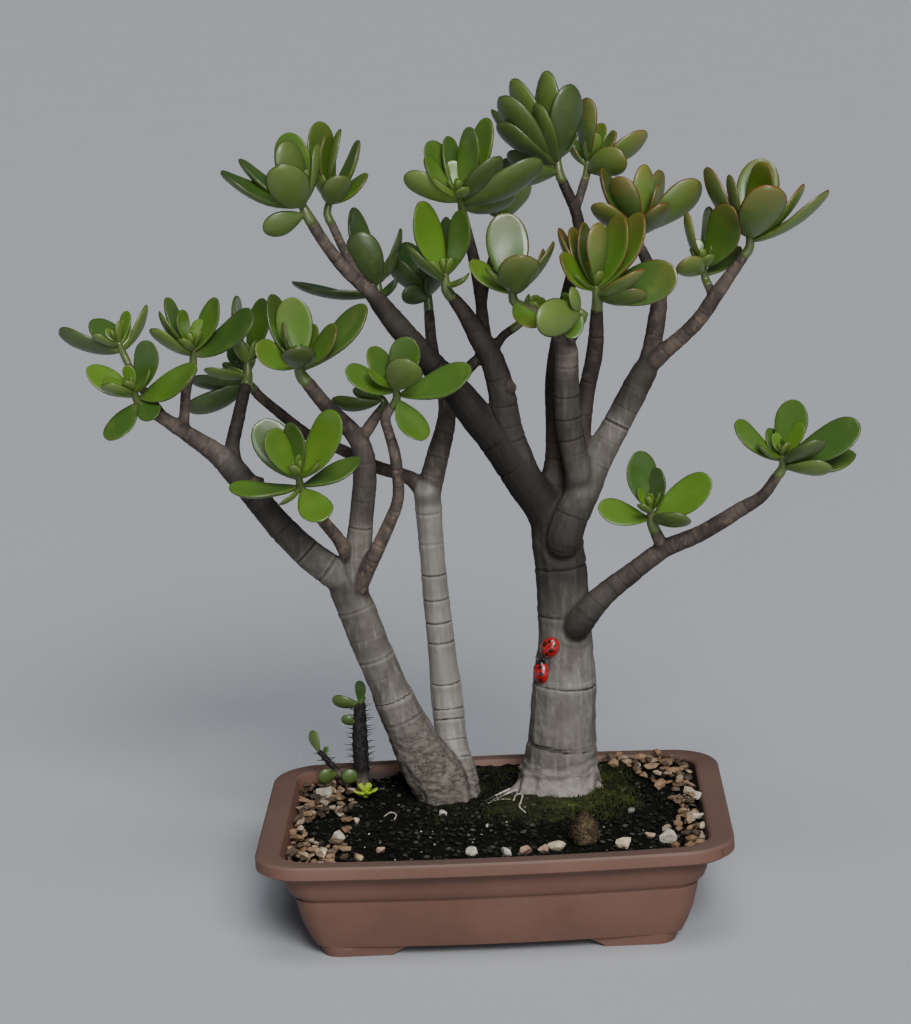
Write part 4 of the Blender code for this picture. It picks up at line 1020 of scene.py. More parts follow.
# %% Mould the tray
# The outer and inner wall as pairs of height and inset, from the foot up over the rim and down.
OUTSIDE = [(7.0, 34.0), (14.0, 30.5), (24.0, 26.6), (35.0, 24.0), (38.8, 23.4), (39.3, 24.6),
           (40.5, 24.6), (41.0, 21.8), (43.5, 19.4), (47.5, 17.6), (53.0, 16.4), (58.4, 16.0),
           (59.0, 2.6), (60.6, 0.0), (67.2, 0.0), (68.6, 1.4)]
INSIDE = [(68.6, 14.0), (67.4, 15.6), (58.0, 18.6), (45.5, 25.9), (35.0, 27.4), (24.0, 30.2),
          (14.0, 34.1), (13.0, 35.1)]
FOOT_LENGTH = 45.0
FOOT_WIDTH = 40.0
FOOT_TOP = 9.0
FOOT_LEVELS = 8
FOOT_FLARE = 14.0
FOOT_CORNER = (111.3, 82.3)
FOOT_DRAFT = (3.2, 1.0)
FOOT_ROUND = 12.0
DRAINS_AT = (-60.0, 60.0)
DRAIN_RADIUS = 5.0
EDGE_ROUND = 0.0006


def foot_outline(share, side_x, side_y):
    """A corner foot's outline at a share of its height: its inner sides spread as it rises."""
    spread = FOOT_FLARE * share * share * (3.0 - 2.0 * share)
    far_x, far_y = (edge + draft * share for edge, draft in zip(FOOT_CORNER, FOOT_DRAFT))
    near_x, near_y = FOOT_CORNER[0] - FOOT_LENGTH - spread, FOOT_CORNER[1] - FOOT_WIDTH - spread
    outline = [(near_x, near_y), (far_x, near_y)]
    for turn in range(0, 91, 15):
        angle = math.radians(turn)
        outline.append((far_x - FOOT_ROUND + FOOT_ROUND * math.cos(angle),
                        far_y - FOOT_ROUND + FOOT_ROUND * math.sin(angle)))
    outline.append((near_x, far_y))
    return [(side_x * x, side_y * y) for x, y in outline]


def mould_tray():
    """The tray: wall, rim, bands and floor bridged as one skin, feet joined on, drains bored."""
    shell, feet, drains = bmesh.new(), bmesh.new(), bmesh.new()
    add_wall(shell, [(tray_outline(inset), height) for height, inset in OUTSIDE + INSIDE])
    for side_x in (-1, 1):
        for side_y in (-1, 1):
            foot = bmesh.new()
            shares = [step / FOOT_LEVELS for step in range(FOOT_LEVELS + 1)]
            add_wall(foot, [(foot_outline(share, side_x, side_y), FOOT_TOP * share) for share in shares])
            take_mesh(feet, mesh_of(foot, "foot"))
    for x in DRAINS_AT:
        bmesh.ops.create_cone(drains, cap_ends=True, segments=32, radius1=DRAIN_RADIUS,
                              radius2=DRAIN_RADIUS, depth=60.0, matrix=Matrix.Translation((x, 0.0, 0.0)))
    pot = placed_object("pot_shell", mesh_of(shell, "pot_shell"))
    tools = []
    for tool, operation in ((feet, "UNION"), (drains, "DIFFERENCE")):
        tools.append(placed_object("tool", mesh_of(tool, "tool")))
        cut = pot.modifiers.new(operation.lower(), "BOOLEAN")
        cut.operation = operation
        cut.solver = "MANIFOLD"
        cut.object = tools[-1]
    bm = bmesh.new()
    take_mesh(bm, baked(pot))
    for tool in tools:
        bpy.data.objects.remove(tool, do_unlink=True)
    piece = settle("tray", bm, TRAY, ["pot"], sharp=50)
    bevel = piece.modifiers.new("mould_edges", "BEVEL")
    bevel.width = EDGE_ROUND
    bevel.segments = 2
    bevel.limit_method = "ANGLE"
    bevel.angle_limit = math.radians(35)
    bevel.harden_normals = False


mould_tray()

# %% [markdown]
# ## The bed
# The tray is filled with dark, fibrous soil whose top is all crumbs. Stone chips lie at its left end
# and in its back right corner, a few pale stones line its front, and moss has crept over the soil
# round the right trunk. One height rule describes the ground, so that the soil, the stones and the
# moss all agree on where it is.

# %% The ground
GROUND = 59.2
MOSS_CENTRE = (30.0, 22.0)
MOSS_HALF = (42.0, 34.0, 6.5)
SOIL_VOXEL = 1.7
SOIL_LEVELS = [(13.0, 35.6), (14.0, 34.6), (24.0, 30.7), (35.0, 27.9), (45.5, 26.4), (58.0, 19.1),
               (59.6, 18.6)]


def hump(x, y, middle, reach, power=2):
    """A smooth hump: 1 at its middle and low past its reach; a higher power makes its top flatter."""
    return math.exp(-((x - middle[0]) / reach[0]) ** power - ((y - middle[1]) / reach[1]) ** power)


def ground_height(x, y):
    """The height of the soil's top: gentle lumps, a low mound under the moss and one dark clod."""
    lumps = 1.1 * noise.noise(Vector((x * 0.035, y * 0.035, 1.0)))
    clod = 5.0 * hump(x, y, (-110, -12), (13, 22))
    inside = 1.0 - ((x - MOSS_CENTRE[0]) / MOSS_HALF[0]) ** 2 - ((y - MOSS_CENTRE[1]) / MOSS_HALF[1]) ** 2
    mound = 0.7 * MOSS_HALF[2] * math.sqrt(inside) if inside > 0.0 else 0.0
    beside = 5.0 * hump(x, y, (72, 42), (15, 36), 4)
    banked = 4.5 * clamp((x - 92.0) / 20.0) * clamp((y + 40.0) / 90.0)
    heaped = 6.5 * clamp((y - 50.0) / 28.0) * clamp((x + 90.0) / 40.0)
    return GROUND + lumps + clod + max(mound, beside, banked, heaped)


def crumb(place, size):
    """Rounded crumbs of a size: high in the middle of each cell and low between them."""
    return 0.5 - noise.voronoi(place / size)[0][0]


# %% [markdown]
# ## Soil
# The soil is a block cut to the inside of the tray. A voxel remesh gives it an even skin of small
# quads, and its top is pushed into crumbs of two sizes. The finish is nearly black, with paler fibres,
# a green-grey bloom of algae and a few light flecks, partly pale grit and partly painted glints.


# %% Soil finish
def soil_finish():
    """Dark damp soil with brown fibres, a faint green bloom and light flecks that are partly painted
    glints.
    """
    soil = Finish("dark_soil", Specular_IOR_Level=0.12)
    fibre = soil.noise(420.0, 5.0, 0.75, (1.0, 0.6, 1.0))
    bloom = soil.noise(60.0, 4.0, 0.65)
    grit = soil.noise(1500.0, 3.0, 0.7)
    # Light flecks: partly pale grit and partly painted glints of light on the crumbs.
    flecks_and_glints = soil.noise(330.0, 2.0, 0.5)
    colour = soil.coats(
        soil.mix(fibre.step(0.4, 0.75), (0.0014, 0.0016, 0.0013), (0.009, 0.009, 0.007)),
        (bloom.step(0.48, 0.7) * 0.6, (0.010, 0.014, 0.008)),
        (flecks_and_glints.step(0.66, 0.72) * 0.8, (0.070, 0.076, 0.060)))
    soil.bump(fibre * 0.6 + grit * 0.4, 0.0014, 1.0)
    return soil.surface(Base_Color=colour, Roughness=0.72 + grit * 0.25)


SOIL = soil_finish()


# %% Fill the tray
def fill_soil():
    """The soil block, remeshed and crumbled on top."""
    block = bmesh.new()
    add_wall(block, [(tray_outline(inset), height) for height, inset in SOIL_LEVELS])
    bm = remeshed(block, "soil_block", SOIL_VOXEL)
    for vert in bm.verts:
        if vert.co.z > GROUND - 1.0:
            place = Vector((vert.co.x, vert.co.y, 0.0))
            fine = 2.0 * crumb(place, 6.5) + 1.3 * crumb(place + Vector((50, 9, 0)), 3.4)
            vert.co.z = ground_height(vert.co.x, vert.co.y) + fine
    settle("soil_top", bm, SOIL, ["soil"])


fill_soil()

# %% [markdown]
# ## Stones
# A stone chip is a twenty-sided ball with its corners pushed in and out by chance, shaded flat, which
# gives broken faces for only twenty triangles. Hundreds of them are strewn by a seeded rule that keeps
# them apart, in two layers where the gravel is deep. The larger ones are placed one by one and start from
# a finer ball, whose sides are cut flat. Each stone carries its own colour.


# %% Stone finish
STONE_LAYER = "stone_tint"


def stone_finish(name, stained, pitted):
    """Stone or crumb whose colour is kept at each chip, stained and pitted by shares."""
    stone = Finish(name, Specular_IOR_Level=0.25)
    mottle = stone.noise(260.0, 4.0, 0.65)
    pits = stone.noise(1100.0, 3.0, 0.6)
    colour = stone.coats(
        stone.colour(STONE_LAYER),
        (mottle.step(0.35, 0.65) * stained, (0.10, 0.065, 0.040)),
        (pits.step(0.58, 0.75) * pitted, (0.60, 0.55, 0.46)))
    stone.bump(pits * 0.6 + mottle * 0.4, 0.0007, 0.8)
    return stone.surface(Base_Color=colour, Roughness=0.6 + pits * 0.3)


STONE = stone_finish("stone_chip", 0.5, 0.35)
CRUMB = stone_finish("soil_crumb", 0.06, 0.02)

# %% Stone colours
DARKS = [(0.0025, 0.0025, 0.002), (0.004, 0.004, 0.003), (0.009, 0.008, 0.006), (0.006, 0.008, 0.004),
         (0.020, 0.022, 0.017), (0.045, 0.048, 0.038)]
TANS = [(0.24, 0.155, 0.09), (0.28, 0.175, 0.105), (0.30, 0.225, 0.15), (0.11, 0.078, 0.052),
        (0.19, 0.11, 0.06), (0.055, 0.038, 0.026), (0.36, 0.29, 0.21), (0.028, 0.021, 0.016)]
WHITE = (0.58, 0.55, 0.46)
PINK = (0.50, 0.32, 0.24)
GREY = (0.38, 0.36, 0.29)
CREAM = (0.62, 0.53, 0.38)
SLATE = (0.16, 0.16, 0.14)
OCHRE = (0.45, 0.33, 0.20)
SAND = (0.50, 0.38, 0.24)
print("stone colours:", len(DARKS), "dark,", len(TANS), "tan and 7 single ones")

# %% One stone
FLATS = 9


def add_stone(bm, place, half, tint, draw, splits=1):
    """Add one angular stone with its half sizes, turned at random; with 2 splits it has flat cuts."""
    tint_layer = bm.verts.layers.float_color[STONE_LAYER]
    verts = bmesh.ops.create_icosphere(bm, subdivisions=splits, radius=1.0)["verts"]
    for vert in verts:
        vert.co *= draw.uniform(0.62, 1.22) if splits == 1 else draw.uniform(0.97, 1.03)
        vert[tint_layer] = (*tint, 1.0)
    for _ in range(FLATS * (splits - 1)):
        cut = direction(draw.uniform(0, 360), draw.uniform(-20, 90))
        depth = draw.uniform(0.42, 0.75)
        for vert in verts:
            vert.co -= cut * max(0.0, vert.co.dot(cut) - depth)
    turn = Matrix.Rotation(draw.uniform(0.0, math.tau), 4, "Z")
    tip = Matrix.Rotation(draw.uniform(-0.5, 0.5), 4, "X")
    size = Matrix.Diagonal((*half, 1.0))
    bmesh.ops.transform(bm, matrix=Matrix.Translation(place) @ turn @ tip @ size, verts=verts)


# %% Where stones may lie
# Gravel lies beyond a line at the left end, one at the right edge and one across the back right corner.
LEFT_BED = -98.0
RIGHT_BED = 118.0
CORNER_BED = (80.0, 88.0)
WALL_INSET = 18.0


def gravel_share(x, y):
    """How thickly gravel covers a place: 1 in the gravel and 0 on bare soil."""
    if hump(x, y, (-109, -12), (14, 26)) > 0.35:
        return 0.0
    edge = 9.0 * noise.noise(Vector((x * 0.07, y * 0.07, 7.0)))
    corner = ((x - CORNER_BED[0]) * 58.0 + (y - CORNER_BED[1]) * 38.0) / 69.3
    deep = max(LEFT_BED - x, x - RIGHT_BED, corner - 1.0) + edge
    return clamp(0.5 + deep / 8.0)


def second_layer(x, y):
    """How thickly a second layer of gravel lies on the first."""
    return gravel_share(x, y) ** 2


def bare_share(x, y):
    """How much bare soil there is at a place."""
    return 1.0 - gravel_share(x, y)


def in_tray(x, y, margin):
    """Whether a place lies inside the tray's wall by a margin."""
    half_x = RIM_LENGTH / 2 - WALL_INSET - margin
    half_y = RIM_WIDTH / 2 - WALL_INSET * SHORT_SIDE_TAPER - margin
    half_y += SIDE_BOW * max(0.0, 1.0 - (x / half_x) ** 2)
    over_x = max(abs(x) - (half_x - WALL_INSET), 0.0)
    over_y = max(abs(y) - (half_y - WALL_INSET), 0.0)
    return abs(x) < half_x and abs(y) < half_y and math.hypot(over_x, over_y) < WALL_INSET


# %% Strew the stones
BED_X = (-132.0, 132.0)
BED_Y = (-94.0, 98.0)
# Where the stems stand, with the radius kept free round each, and the stones placed one by one.
STEM_FEET = [(-34, 55, 27), (-29, 67, 19), (41, 53, 33), (-89, 67, 7), (-99, 79, 5), (-87, 54, 7)]
LARGE_STONES = [(-113, 54, 7.2, GREY), (-100, -33, 6.8, WHITE), (-91, 4, 3.6, CREAM),
                (-14, -68, 5.2, WHITE), (8, -73, 5.0, WHITE), (20, -72, 6.2, PINK), (30, -71, 4.6, PINK),
                (39, -67, 6.6, CREAM), (82, -66, 6.4, CREAM), (109, -60, 8.8, WHITE),
                (98, -48, 3.6, PINK), (131, 12, 5.4, WHITE), (131, -26, 4.4, WHITE),
                (132, -42, 4.4, CREAM), (-72, -57, 3.8, PINK), (-35, 15, 3.4, WHITE),
                (-5, -14, 1.8, WHITE), (88, 2, 3.4, SLATE), (-108, -66, 4.8, CREAM),
                (-86, -70, 4.8, OCHRE), (-119, -72, 5.2, SAND)]


def at_stem(x, y, margin):
    """Whether a place lies on a stem's foot or within a margin round it."""
    return any(math.hypot(x - a, y - b) < reach + margin for a, b, reach in STEM_FEET)


def strew(count, sizes, share, lift, tints, seed, bm, spacing=1.5):
    """Drop stones where the share allows, each clear of the last ones, and return how many lay."""
    draw = random.Random(seed)
    laid = np.zeros((0, 3))
    for _ in range(count * 30):
        x, y = draw.uniform(*BED_X), draw.uniform(*BED_Y)
        size = draw.uniform(*sizes)
        if len(laid) == count:
            break
        if draw.random() > share(x, y) or not in_tray(x, y, size * 0.7) or at_stem(x, y, size * 0.3):
            continue
        apart = np.hypot(laid[:, 0] - x, laid[:, 1] - y)
        if (apart < spacing * 0.5 * (laid[:, 2] + size)).any():
            continue
        laid = np.vstack([laid, (x, y, size)])
        half = (size * draw.uniform(0.9, 1.45), size * draw.uniform(0.6, 1.0),
                size * draw.uniform(0.35, 0.7))
        height = ground_height(x, y) + lift + 0.35 * size
        add_stone(bm, (x, y, height), half, draw.choice(tints), draw)
    return len(laid)


def strew_stones():
    """The gravel in two layers, the larger pale stones, and dark crumbs over the bare soil."""
    bm = layered_bmesh(STONE_LAYER)
    low = strew(190, (2.5, 4.9), gravel_share, 1.4, TANS, 3, bm, 1.7)
    top = strew(95, (2.3, 4.6), second_layer, 4.4, TANS, 4, bm, 2.1)
    draw = random.Random(5)
    for x, y, size, tint in LARGE_STONES:
        half = (size * draw.uniform(0.95, 1.3), size * draw.uniform(0.65, 0.9),
                size * draw.uniform(0.6, 0.85))
        height = ground_height(x, y) + 0.5 * size + 2.5 * gravel_share(x, y)
        add_stone(bm, (x, y, height), half, tint, draw, splits=2)
    print("gravel:", low, "low and", top, "top stones")
    settle("gravel_chips", bm, STONE, ["gravel"], sharp=20)
    bm = layered_bmesh(STONE_LAYER)
    print("soil crumbs:", strew(760, (0.9, 2.2), bare_share, 0.6, DARKS, 6, bm))
    settle("soil_crumbs", bm, CRUMB, sharp=20)
    bm = layered_bmesh(STONE_LAYER)
    print("pale specks:", strew(34, (0.4, 1.1), bare_share, 1.4, [WHITE, GREY], 7, bm))
    settle("pale_specks", bm, STONE, sharp=20)


strew_stones()

# %% [markdown]
# ## Moss
# Moss is thousands of tiny pointed shoots. Here a low mound of crumbly green earth is set with some
# thousands of three-sided blades, thick near the right trunk and thinning out over the soil. The brown
# tuft in front is a ball of dead fibres, made the same way with longer blades that lie along it.


# %% Moss finish
def moss_finish(name, dark, light, tip):
    """Velvety moss: dark between the blades and lighter towards patches of fresh growth."""
    moss = Finish(name, Specular_IOR_Level=0.2, Roughness=0.9)
    patch = moss.noise(45.0, 4.0, 0.6)
    fine = moss.noise(700.0, 4.0, 0.7)
    across = moss.node("SeparateXYZ", {}, {0: moss.place()})
    fresh = patch.step(0.35, 0.65) * (0.35 + across.step(0.045, 0.075) * 0.65)
    colour = moss.coats(dark, (fresh, light), (fine.step(0.5, 0.75) * (0.25 + fresh * 0.5), tip))
    moss.bump(fine, 0.0012, 1.0)
    return moss.surface(Base_Color=colour)


MOSS = moss_finish("green_moss", (0.015, 0.017, 0.007), (0.062, 0.078, 0.018), (0.155, 0.180, 0.050))
FIBRE = moss_finish("dead_fibre", (0.030, 0.023, 0.013), (0.105, 0.076, 0.042), (0.26, 0.20, 0.12))


def add_spike(bm, foot, way, length, radius, tip, sides=3):
    """Add one straight tapering blade or spine that stands on its foot."""
    made = bmesh.ops.create_cone(bm, cap_ends=True, segments=sides, radius1=radius, radius2=tip,
                                 depth=length)
    turn = UP.rotation_difference(way).to_matrix().to_4x4()
    middle = Matrix.Translation(foot + way * (0.5 * length))
    bmesh.ops.transform(bm, matrix=middle @ turn, verts=made["verts"])


# %% Grow the moss
MOSS_FLOOR = 57.0
MOSS_X = (-60.0, 118.0)
MOSS_Y = (-34.0, 88.0)
BLADE_TIP = 0.15
TRIES = 16000


def moss_share(x, y):
    """How thick the moss is at a place."""
    beside = hump(x, y, (72, 40), (18, 42), 4)
    front = 0.7 * hump(x, y, (22, 14), (60, 28), 4)
    behind = 0.8 * hump(x, y, (-2, 72), (30, 22), 4)
    patch = 0.5 + noise.noise(Vector((x * 0.05, y * 0.05, 3.0)))
    return min(1.0, 1.6 * beside + (front + behind) * (0.35 + patch))


def grow_moss():
    """The mound and the blades that stand on it and round it."""
    bm = bmesh.new()
    bmesh.ops.create_uvsphere(bm, u_segments=72, v_segments=40, radius=1.0)
    bmesh.ops.scale(bm, vec=MOSS_HALF, verts=bm.verts)
    bmesh.ops.translate(bm, vec=(*MOSS_CENTRE, GROUND - 0.6), verts=bm.verts)
    whole = bm.verts[:] + bm.edges[:] + bm.faces[:]
    bmesh.ops.bisect_plane(bm, geom=whole, plane_co=(0, 0, MOSS_FLOOR), plane_no=(0, 0, 1),
                           clear_inner=True)
    bmesh.ops.holes_fill(bm, edges=[edge for edge in bm.edges if edge.is_boundary])
    for vert in bm.verts:
        if vert.co.z > MOSS_FLOOR + 0.5:
            vert.co.z += 2.4 * crumb(vert.co, 7.0) + 1.2 * crumb(vert.co, 3.0)
    draw = random.Random(21)
    blades = 0
    for _ in range(TRIES):
        x, y = draw.uniform(*MOSS_X), draw.uniform(*MOSS_Y)
        length, lean, turn = draw.uniform(1.6, 3.6), draw.uniform(0.0, 0.75), draw.uniform(0, math.tau)
        if draw.random() > moss_share(x, y) or at_stem(x, y, -3.0) or not in_tray(x, y, 2.0):
            continue
        way = Vector((lean * math.cos(turn), lean * math.sin(turn), 1.0)).normalized()
        foot = Vector((x, y, ground_height(x, y) + 0.2))
        radius = draw.uniform(0.28, 0.5)
        add_spike(bm, foot, way, length, radius, radius * BLADE_TIP)
        blades += 1
    print("moss blades:", blades)
    settle("moss_cushion", bm, MOSS, ["moss"])


# %% Grow the tuft
MOSS_BALL = (57.0, -56.0, 9.0)
FIBRES = 420


def grow_tuft():
    """The brown ball of fibres in front of the right trunk."""
    x, y, radius = MOSS_BALL
    heart = Vector((x, y, ground_height(x, y) + 0.95 * radius))
    bm = bmesh.new()
    bmesh.ops.create_icosphere(bm, subdivisions=4, radius=radius * 0.92)
    for vert in bm.verts:
        vert.co *= 1.0 + 0.16 * crumb(vert.co, 4.0) + 0.10 * noise.noise(vert.co * 0.5)
    bmesh.ops.translate(bm, vec=heart, verts=bm.verts)
    draw = random.Random(22)
    for _ in range(FIBRES):
        out = direction(draw.uniform(0, 360), draw.uniform(-15, 88))
        along = out.cross(direction(draw.uniform(0, 360), draw.uniform(-90, 90))).normalized()
        way = (along + out * draw.uniform(-0.1, 0.35)).normalized()
        foot = heart + out * radius * draw.uniform(0.84, 1.02)
        length, width = draw.uniform(2.5, 5.5), draw.uniform(0.22, 0.4)
        add_spike(bm, foot, way, length, width, width * BLADE_TIP)
    for vert in bm.verts:
        rise = (vert.co.z - heart.z) / radius
        narrow = 1.0 - 0.32 * rise
        vert.co = heart + Vector(((vert.co.x - x) * narrow, (vert.co.y - y) * narrow,
                                  (vert.co.z - heart.z) * 1.32))
    settle("fibre_ball", bm, FIBRE, ["moss_tuft"])


grow_moss()
grow_tuft()

# %% [markdown]
# ## Loose roots
# A few thin pale roots have come up beside the right trunk. They are short curves with a round
# section, laid on the ground.

# %% Roots
ROOTS = [[(16, 42, 66, 0.6), (8, 38, 64.5, 0.7), (0, 33, 62.5, 0.6), (-9, 27, 61.0, 0.4)],
         [(17, 48, 66, 0.6), (9, 45, 65.0, 0.8), (1, 40, 63.0, 0.7), (-7, 34, 61.0, 0.4)],
         [(12, 20, 65.0, 0.4), (14, 25, 67.5, 0.6), (18, 23, 68.0, 0.6), (17, 13, 66.5, 0.6),
          (16, 5, 65.5, 0.6), (20, -3, 64.0, 0.4)],
         [(-5, 25, 62.5, 0.3), (2, 27, 64.0, 0.4), (10, 24, 65.0, 0.4)],
         [(-73, 12, 60.5, 0.4), (-69, 16, 61.8, 0.5), (-65, 12, 61.6, 0.5), (-66, 4, 60.5, 0.4)]]


def lay_roots():
    """The pale roots on the ground."""
    skin = Finish("pale_root", Roughness=0.7, Specular_IOR_Level=0.3)
    streak = skin.noise(350.0, 3.0)
    colour = skin.mix(streak.step(0.4, 0.7), (0.40, 0.375, 0.33), (0.21, 0.185, 0.15))
    skin.bump(streak, 0.0004, 0.6)
    bm = bmesh.new()
    for route in ROOTS:
        add_tube(bm, route, resolution=2, step=1.5)
    settle("loose_roots", bm, skin.surface(Base_Color=colour))


lay_roots()

# %% [markdown]
# ## The thorny seedlings
# Two spiny seedlings have sprung up at the left: dark, ribbed stems with thin spines and a few small
# round leaves. The stem is a tube whose skin is pushed out under each spine, as the knobs of such a
# stem are, and each spine is a slender four-sided cone.

# %% Stems and leaves of the seedlings
# For each one: its stem's points with the radius there, its number of spines, the share of the way up at
# which they start, and its leaves. Each leaf: its share of the way up, turn, lift, length, breadth as a
# share of the length, and twist.
SEEDLINGS = {
    "thorny_seedling": {
        "stem": [(-90, 67, 50, 4.4), (-89.5, 67, 66, 4.4), (-89.5, 67, 78, 4.9), (-89.5, 67, 93, 5.2),
                 (-89, 67, 109, 4.4), (-88, 67, 123, 3.5)],
        "spines": 96, "first": 0.36,
        "leaves": [(1.0, 60, 84, 15, 0.60, 0), (0.98, 180, 14, 19, 0.60, 72), (0.80, 190, 20, 13, 0.62, 65),
                   (0.30, 195, 5, 14, 0.80, 75), (0.99, 10, 50, 6, 0.7, 0)],
    },
    "thorny_offshoot": {
        "stem": [(-99, 79, 50, 2.4), (-101, 78, 64, 2.4), (-112, 76, 80, 2.0), (-118, 75, 88, 1.6)],
        "spines": 30, "first": 0.40,
        "leaves": [(1.0, 140, 66, 15, 0.72, 85), (0.50, 200, -10, 14, 0.85, 75),
                   (0.45, 345, 0, 14, 0.85, -75), (0.85, 60, 50, 7, 0.6, 0)],
    },
}
SPINE_LENGTH = 5.6
SPINE_SINK = 0.8
SPINE_RADIUS = 0.38
SPINE_TIP = 0.08
GOLDEN_ANGLE = 137.5
WOODY_TOP = 76.0
WOODY_FADE = 10.0
print("spines:", sum(seedling["spines"] for seedling in SEEDLINGS.values()))


# %% Thorn finish
def thorn_finish():
    """Dark ribbed skin, woody and paler towards the ground."""
    skin = Finish("thorny_stem", Specular_IOR_Level=0.3, Roughness=0.75)
    woody = skin.attribute("woody")
    streak = skin.noise(500.0, 4.0, 0.7, (1.0, 1.0, 0.4))
    dark = skin.mix(streak.step(0.4, 0.7), (0.007, 0.006, 0.007), (0.028, 0.024, 0.024))
    pale = skin.mix(streak.step(0.4, 0.7), (0.10, 0.08, 0.055), (0.24, 0.20, 0.15))
    skin.bump(streak, 0.0006, 0.8)
    return skin.surface(Base_Color=skin.mix(woody, dark, pale))


THORN = thorn_finish()


def along_route(route, share):
    """The place and the radius a share of the way up a route."""
    spans = len(route) - 1
    index = min(int(share * spans), spans - 1)
    low, high = Vector(route[index]), Vector(route[index + 1])
    point = low.lerp(high, share * spans - index)
    return Vector(point[:3]), point[3]


# %% Raise the seedlings
def raise_seedling(name):
    """One seedling: a knobbly stem with its spines, and its small leaves as a second piece."""
    seedling = SEEDLINGS[name]
    route = seedling["stem"]
    bm = bmesh.new()
    woody = bm.verts.layers.float.new("woody")
    add_tube(bm, route, resolution=6, step=1.2)
    draw = random.Random(name)
    feet = []
    for number in range(seedling["spines"]):
        share = seedling["first"] + (0.98 - seedling["first"]) * number / seedling["spines"]
        place, radius = along_route(route, share)
        way = direction(GOLDEN_ANGLE * number, draw.uniform(-5, 25))
        feet.append((place + way * radius, way))
    for vert in bm.verts:
        near = min((vert.co - foot).length for foot, way in feet)
        outward = Vector((vert.normal.x, vert.normal.y, 0.0))
        vert.co += outward * (0.9 * bell(near, 0.0, 1.5) - 0.25)
        vert[woody] = clamp((WOODY_TOP - vert.co.z) / WOODY_FADE)
    for foot, way in feet:
        add_spike(bm, foot - way * SPINE_SINK, way, SPINE_LENGTH + SPINE_SINK, SPINE_RADIUS,
                  SPINE_TIP, sides=4)
    settle(name + "_stem", bm, THORN, [name])
    bm = layered_bmesh(*LEAF_LAYERS)
    for share, turn, lift, length, breadth, twist in seedling["leaves"]:
        place, radius = along_route(route, share)
        tone, roll = draw.uniform(0.2, 0.6), math.radians(twist + draw.uniform(-10, 10))
        add_leaf(bm, place, direction(turn, lift), UP, length, breadth, roll, tone, 0.0)
    settle(name + "_leaves", bm, LEAF)


for seedling_name in SEEDLINGS:
    raise_seedling(seedling_name)


# %% [markdown]
# ## The sprout
# A yellow-green sprout lies on the gravel at the foot of the seedlings: a ring of small plump leaves
# about a short core.


# %% The sprout
SPROUT_FOOT = Vector((-87.0, 54.0, 61.0))
WHORLS = [(20, 9.0), (50, 7.0)]


def lay_sprout():
    """The small sprout, its leaves in two whorls of four."""
    bm = layered_bmesh(*LEAF_LAYERS)
    add_tube(bm, [(*SPROUT_FOOT, 1.8), (*(SPROUT_FOOT + UP * 5.0), 1.4)], resolution=3, step=1.0)
    draw = random.Random(31)
    for whorl, (lift, length) in enumerate(WHORLS):
        for number in range(4):
            way = direction(20 + 90 * number + 45 * whorl + draw.uniform(-12, 12), lift)
            root = SPROUT_FOOT + UP * (2.6 + whorl)
            add_leaf(bm, root, way, UP, length, 0.6, 0.0, 1.0, 0.0)
    lime = Finish("sprout_leaf", Roughness=0.4, Specular_IOR_Level=0.45)
    patch = lime.noise(350.0, 3.0)
    colour = lime.mix(patch.step(0.35, 0.65), (0.20, 0.33, 0.02), (0.42, 0.55, 0.05))
    lime.bump(patch, 0.0003, 0.4)
    settle("sprout_rosette", bm, lime.surface(Base_Color=colour), ["sprout"])


lay_sprout()

# %% [markdown]
# ## The ladybirds
# Two painted ladybird ornaments cling to the right trunk. Each is a glossy red dome split by the seam
# between its wing cases, with a black head and round black spots. The spots are painted by the finish
# from each vertex's place on the dome, so that their edges stay sharp on few faces.

# %% Ladybird finish
# For each one: the way it faces round the trunk, the lean of its head from upright, and its half length.
LADYBIRDS = {"ladybird_upper": (-30.0, 138.0, 7.6), "ladybird_lower": (-44.0, 8.0, 8.0)}
LADYBIRD_LIFT = Vector((-0.6, -0.9, 3.3))
SPOTS = [(0.42, 0.42, 0.20), (-0.42, 0.42, 0.20), (0.50, -0.15, 0.22), (-0.50, -0.15, 0.22),
         (0.30, -0.62, 0.17), (-0.30, -0.62, 0.17)]


def shell_finish():
    """Glossy red lacquer with black spots, a seam and a black head."""
    shell = Finish("ladybird_lacquer", Coat_Roughness=0.08, Specular_IOR_Level=0.5)
    across, along = (shell.attribute("shell_place", part) for part in range(2))
    wear = shell.noise(600.0, 3.0)
    mask = 0.0
    for x, y, reach in SPOTS:
        squares = (across - (0.5 + 0.5 * x)) ** 2.0 + (along - (0.5 + 0.5 * y)) ** 2.0
        apart = shell.node("Math", {"operation": "SQRT"}, {0: squares})
        mask = apart.step(0.5 * reach + 0.02, 0.5 * reach - 0.02) + mask
    seam = abs(across - 0.5).step(0.022, 0.010)
    head = along.step(0.80, 0.84)
    dark = shell.node("Math", {"operation": "MAXIMUM"}, {0: mask + seam, 1: head})
    dark = shell.node("Clamp", {}, {0: dark})
    red = shell.mix(wear.step(0.4, 0.7), (0.30, 0.005, 0.005), (0.42, 0.011, 0.011))
    colour = shell.mix(dark, red, (0.012, 0.010, 0.010))
    return shell.surface(Base_Color=colour, Roughness=0.22 + wear * 0.12, Coat_Weight=0.7)


SHELL = shell_finish()


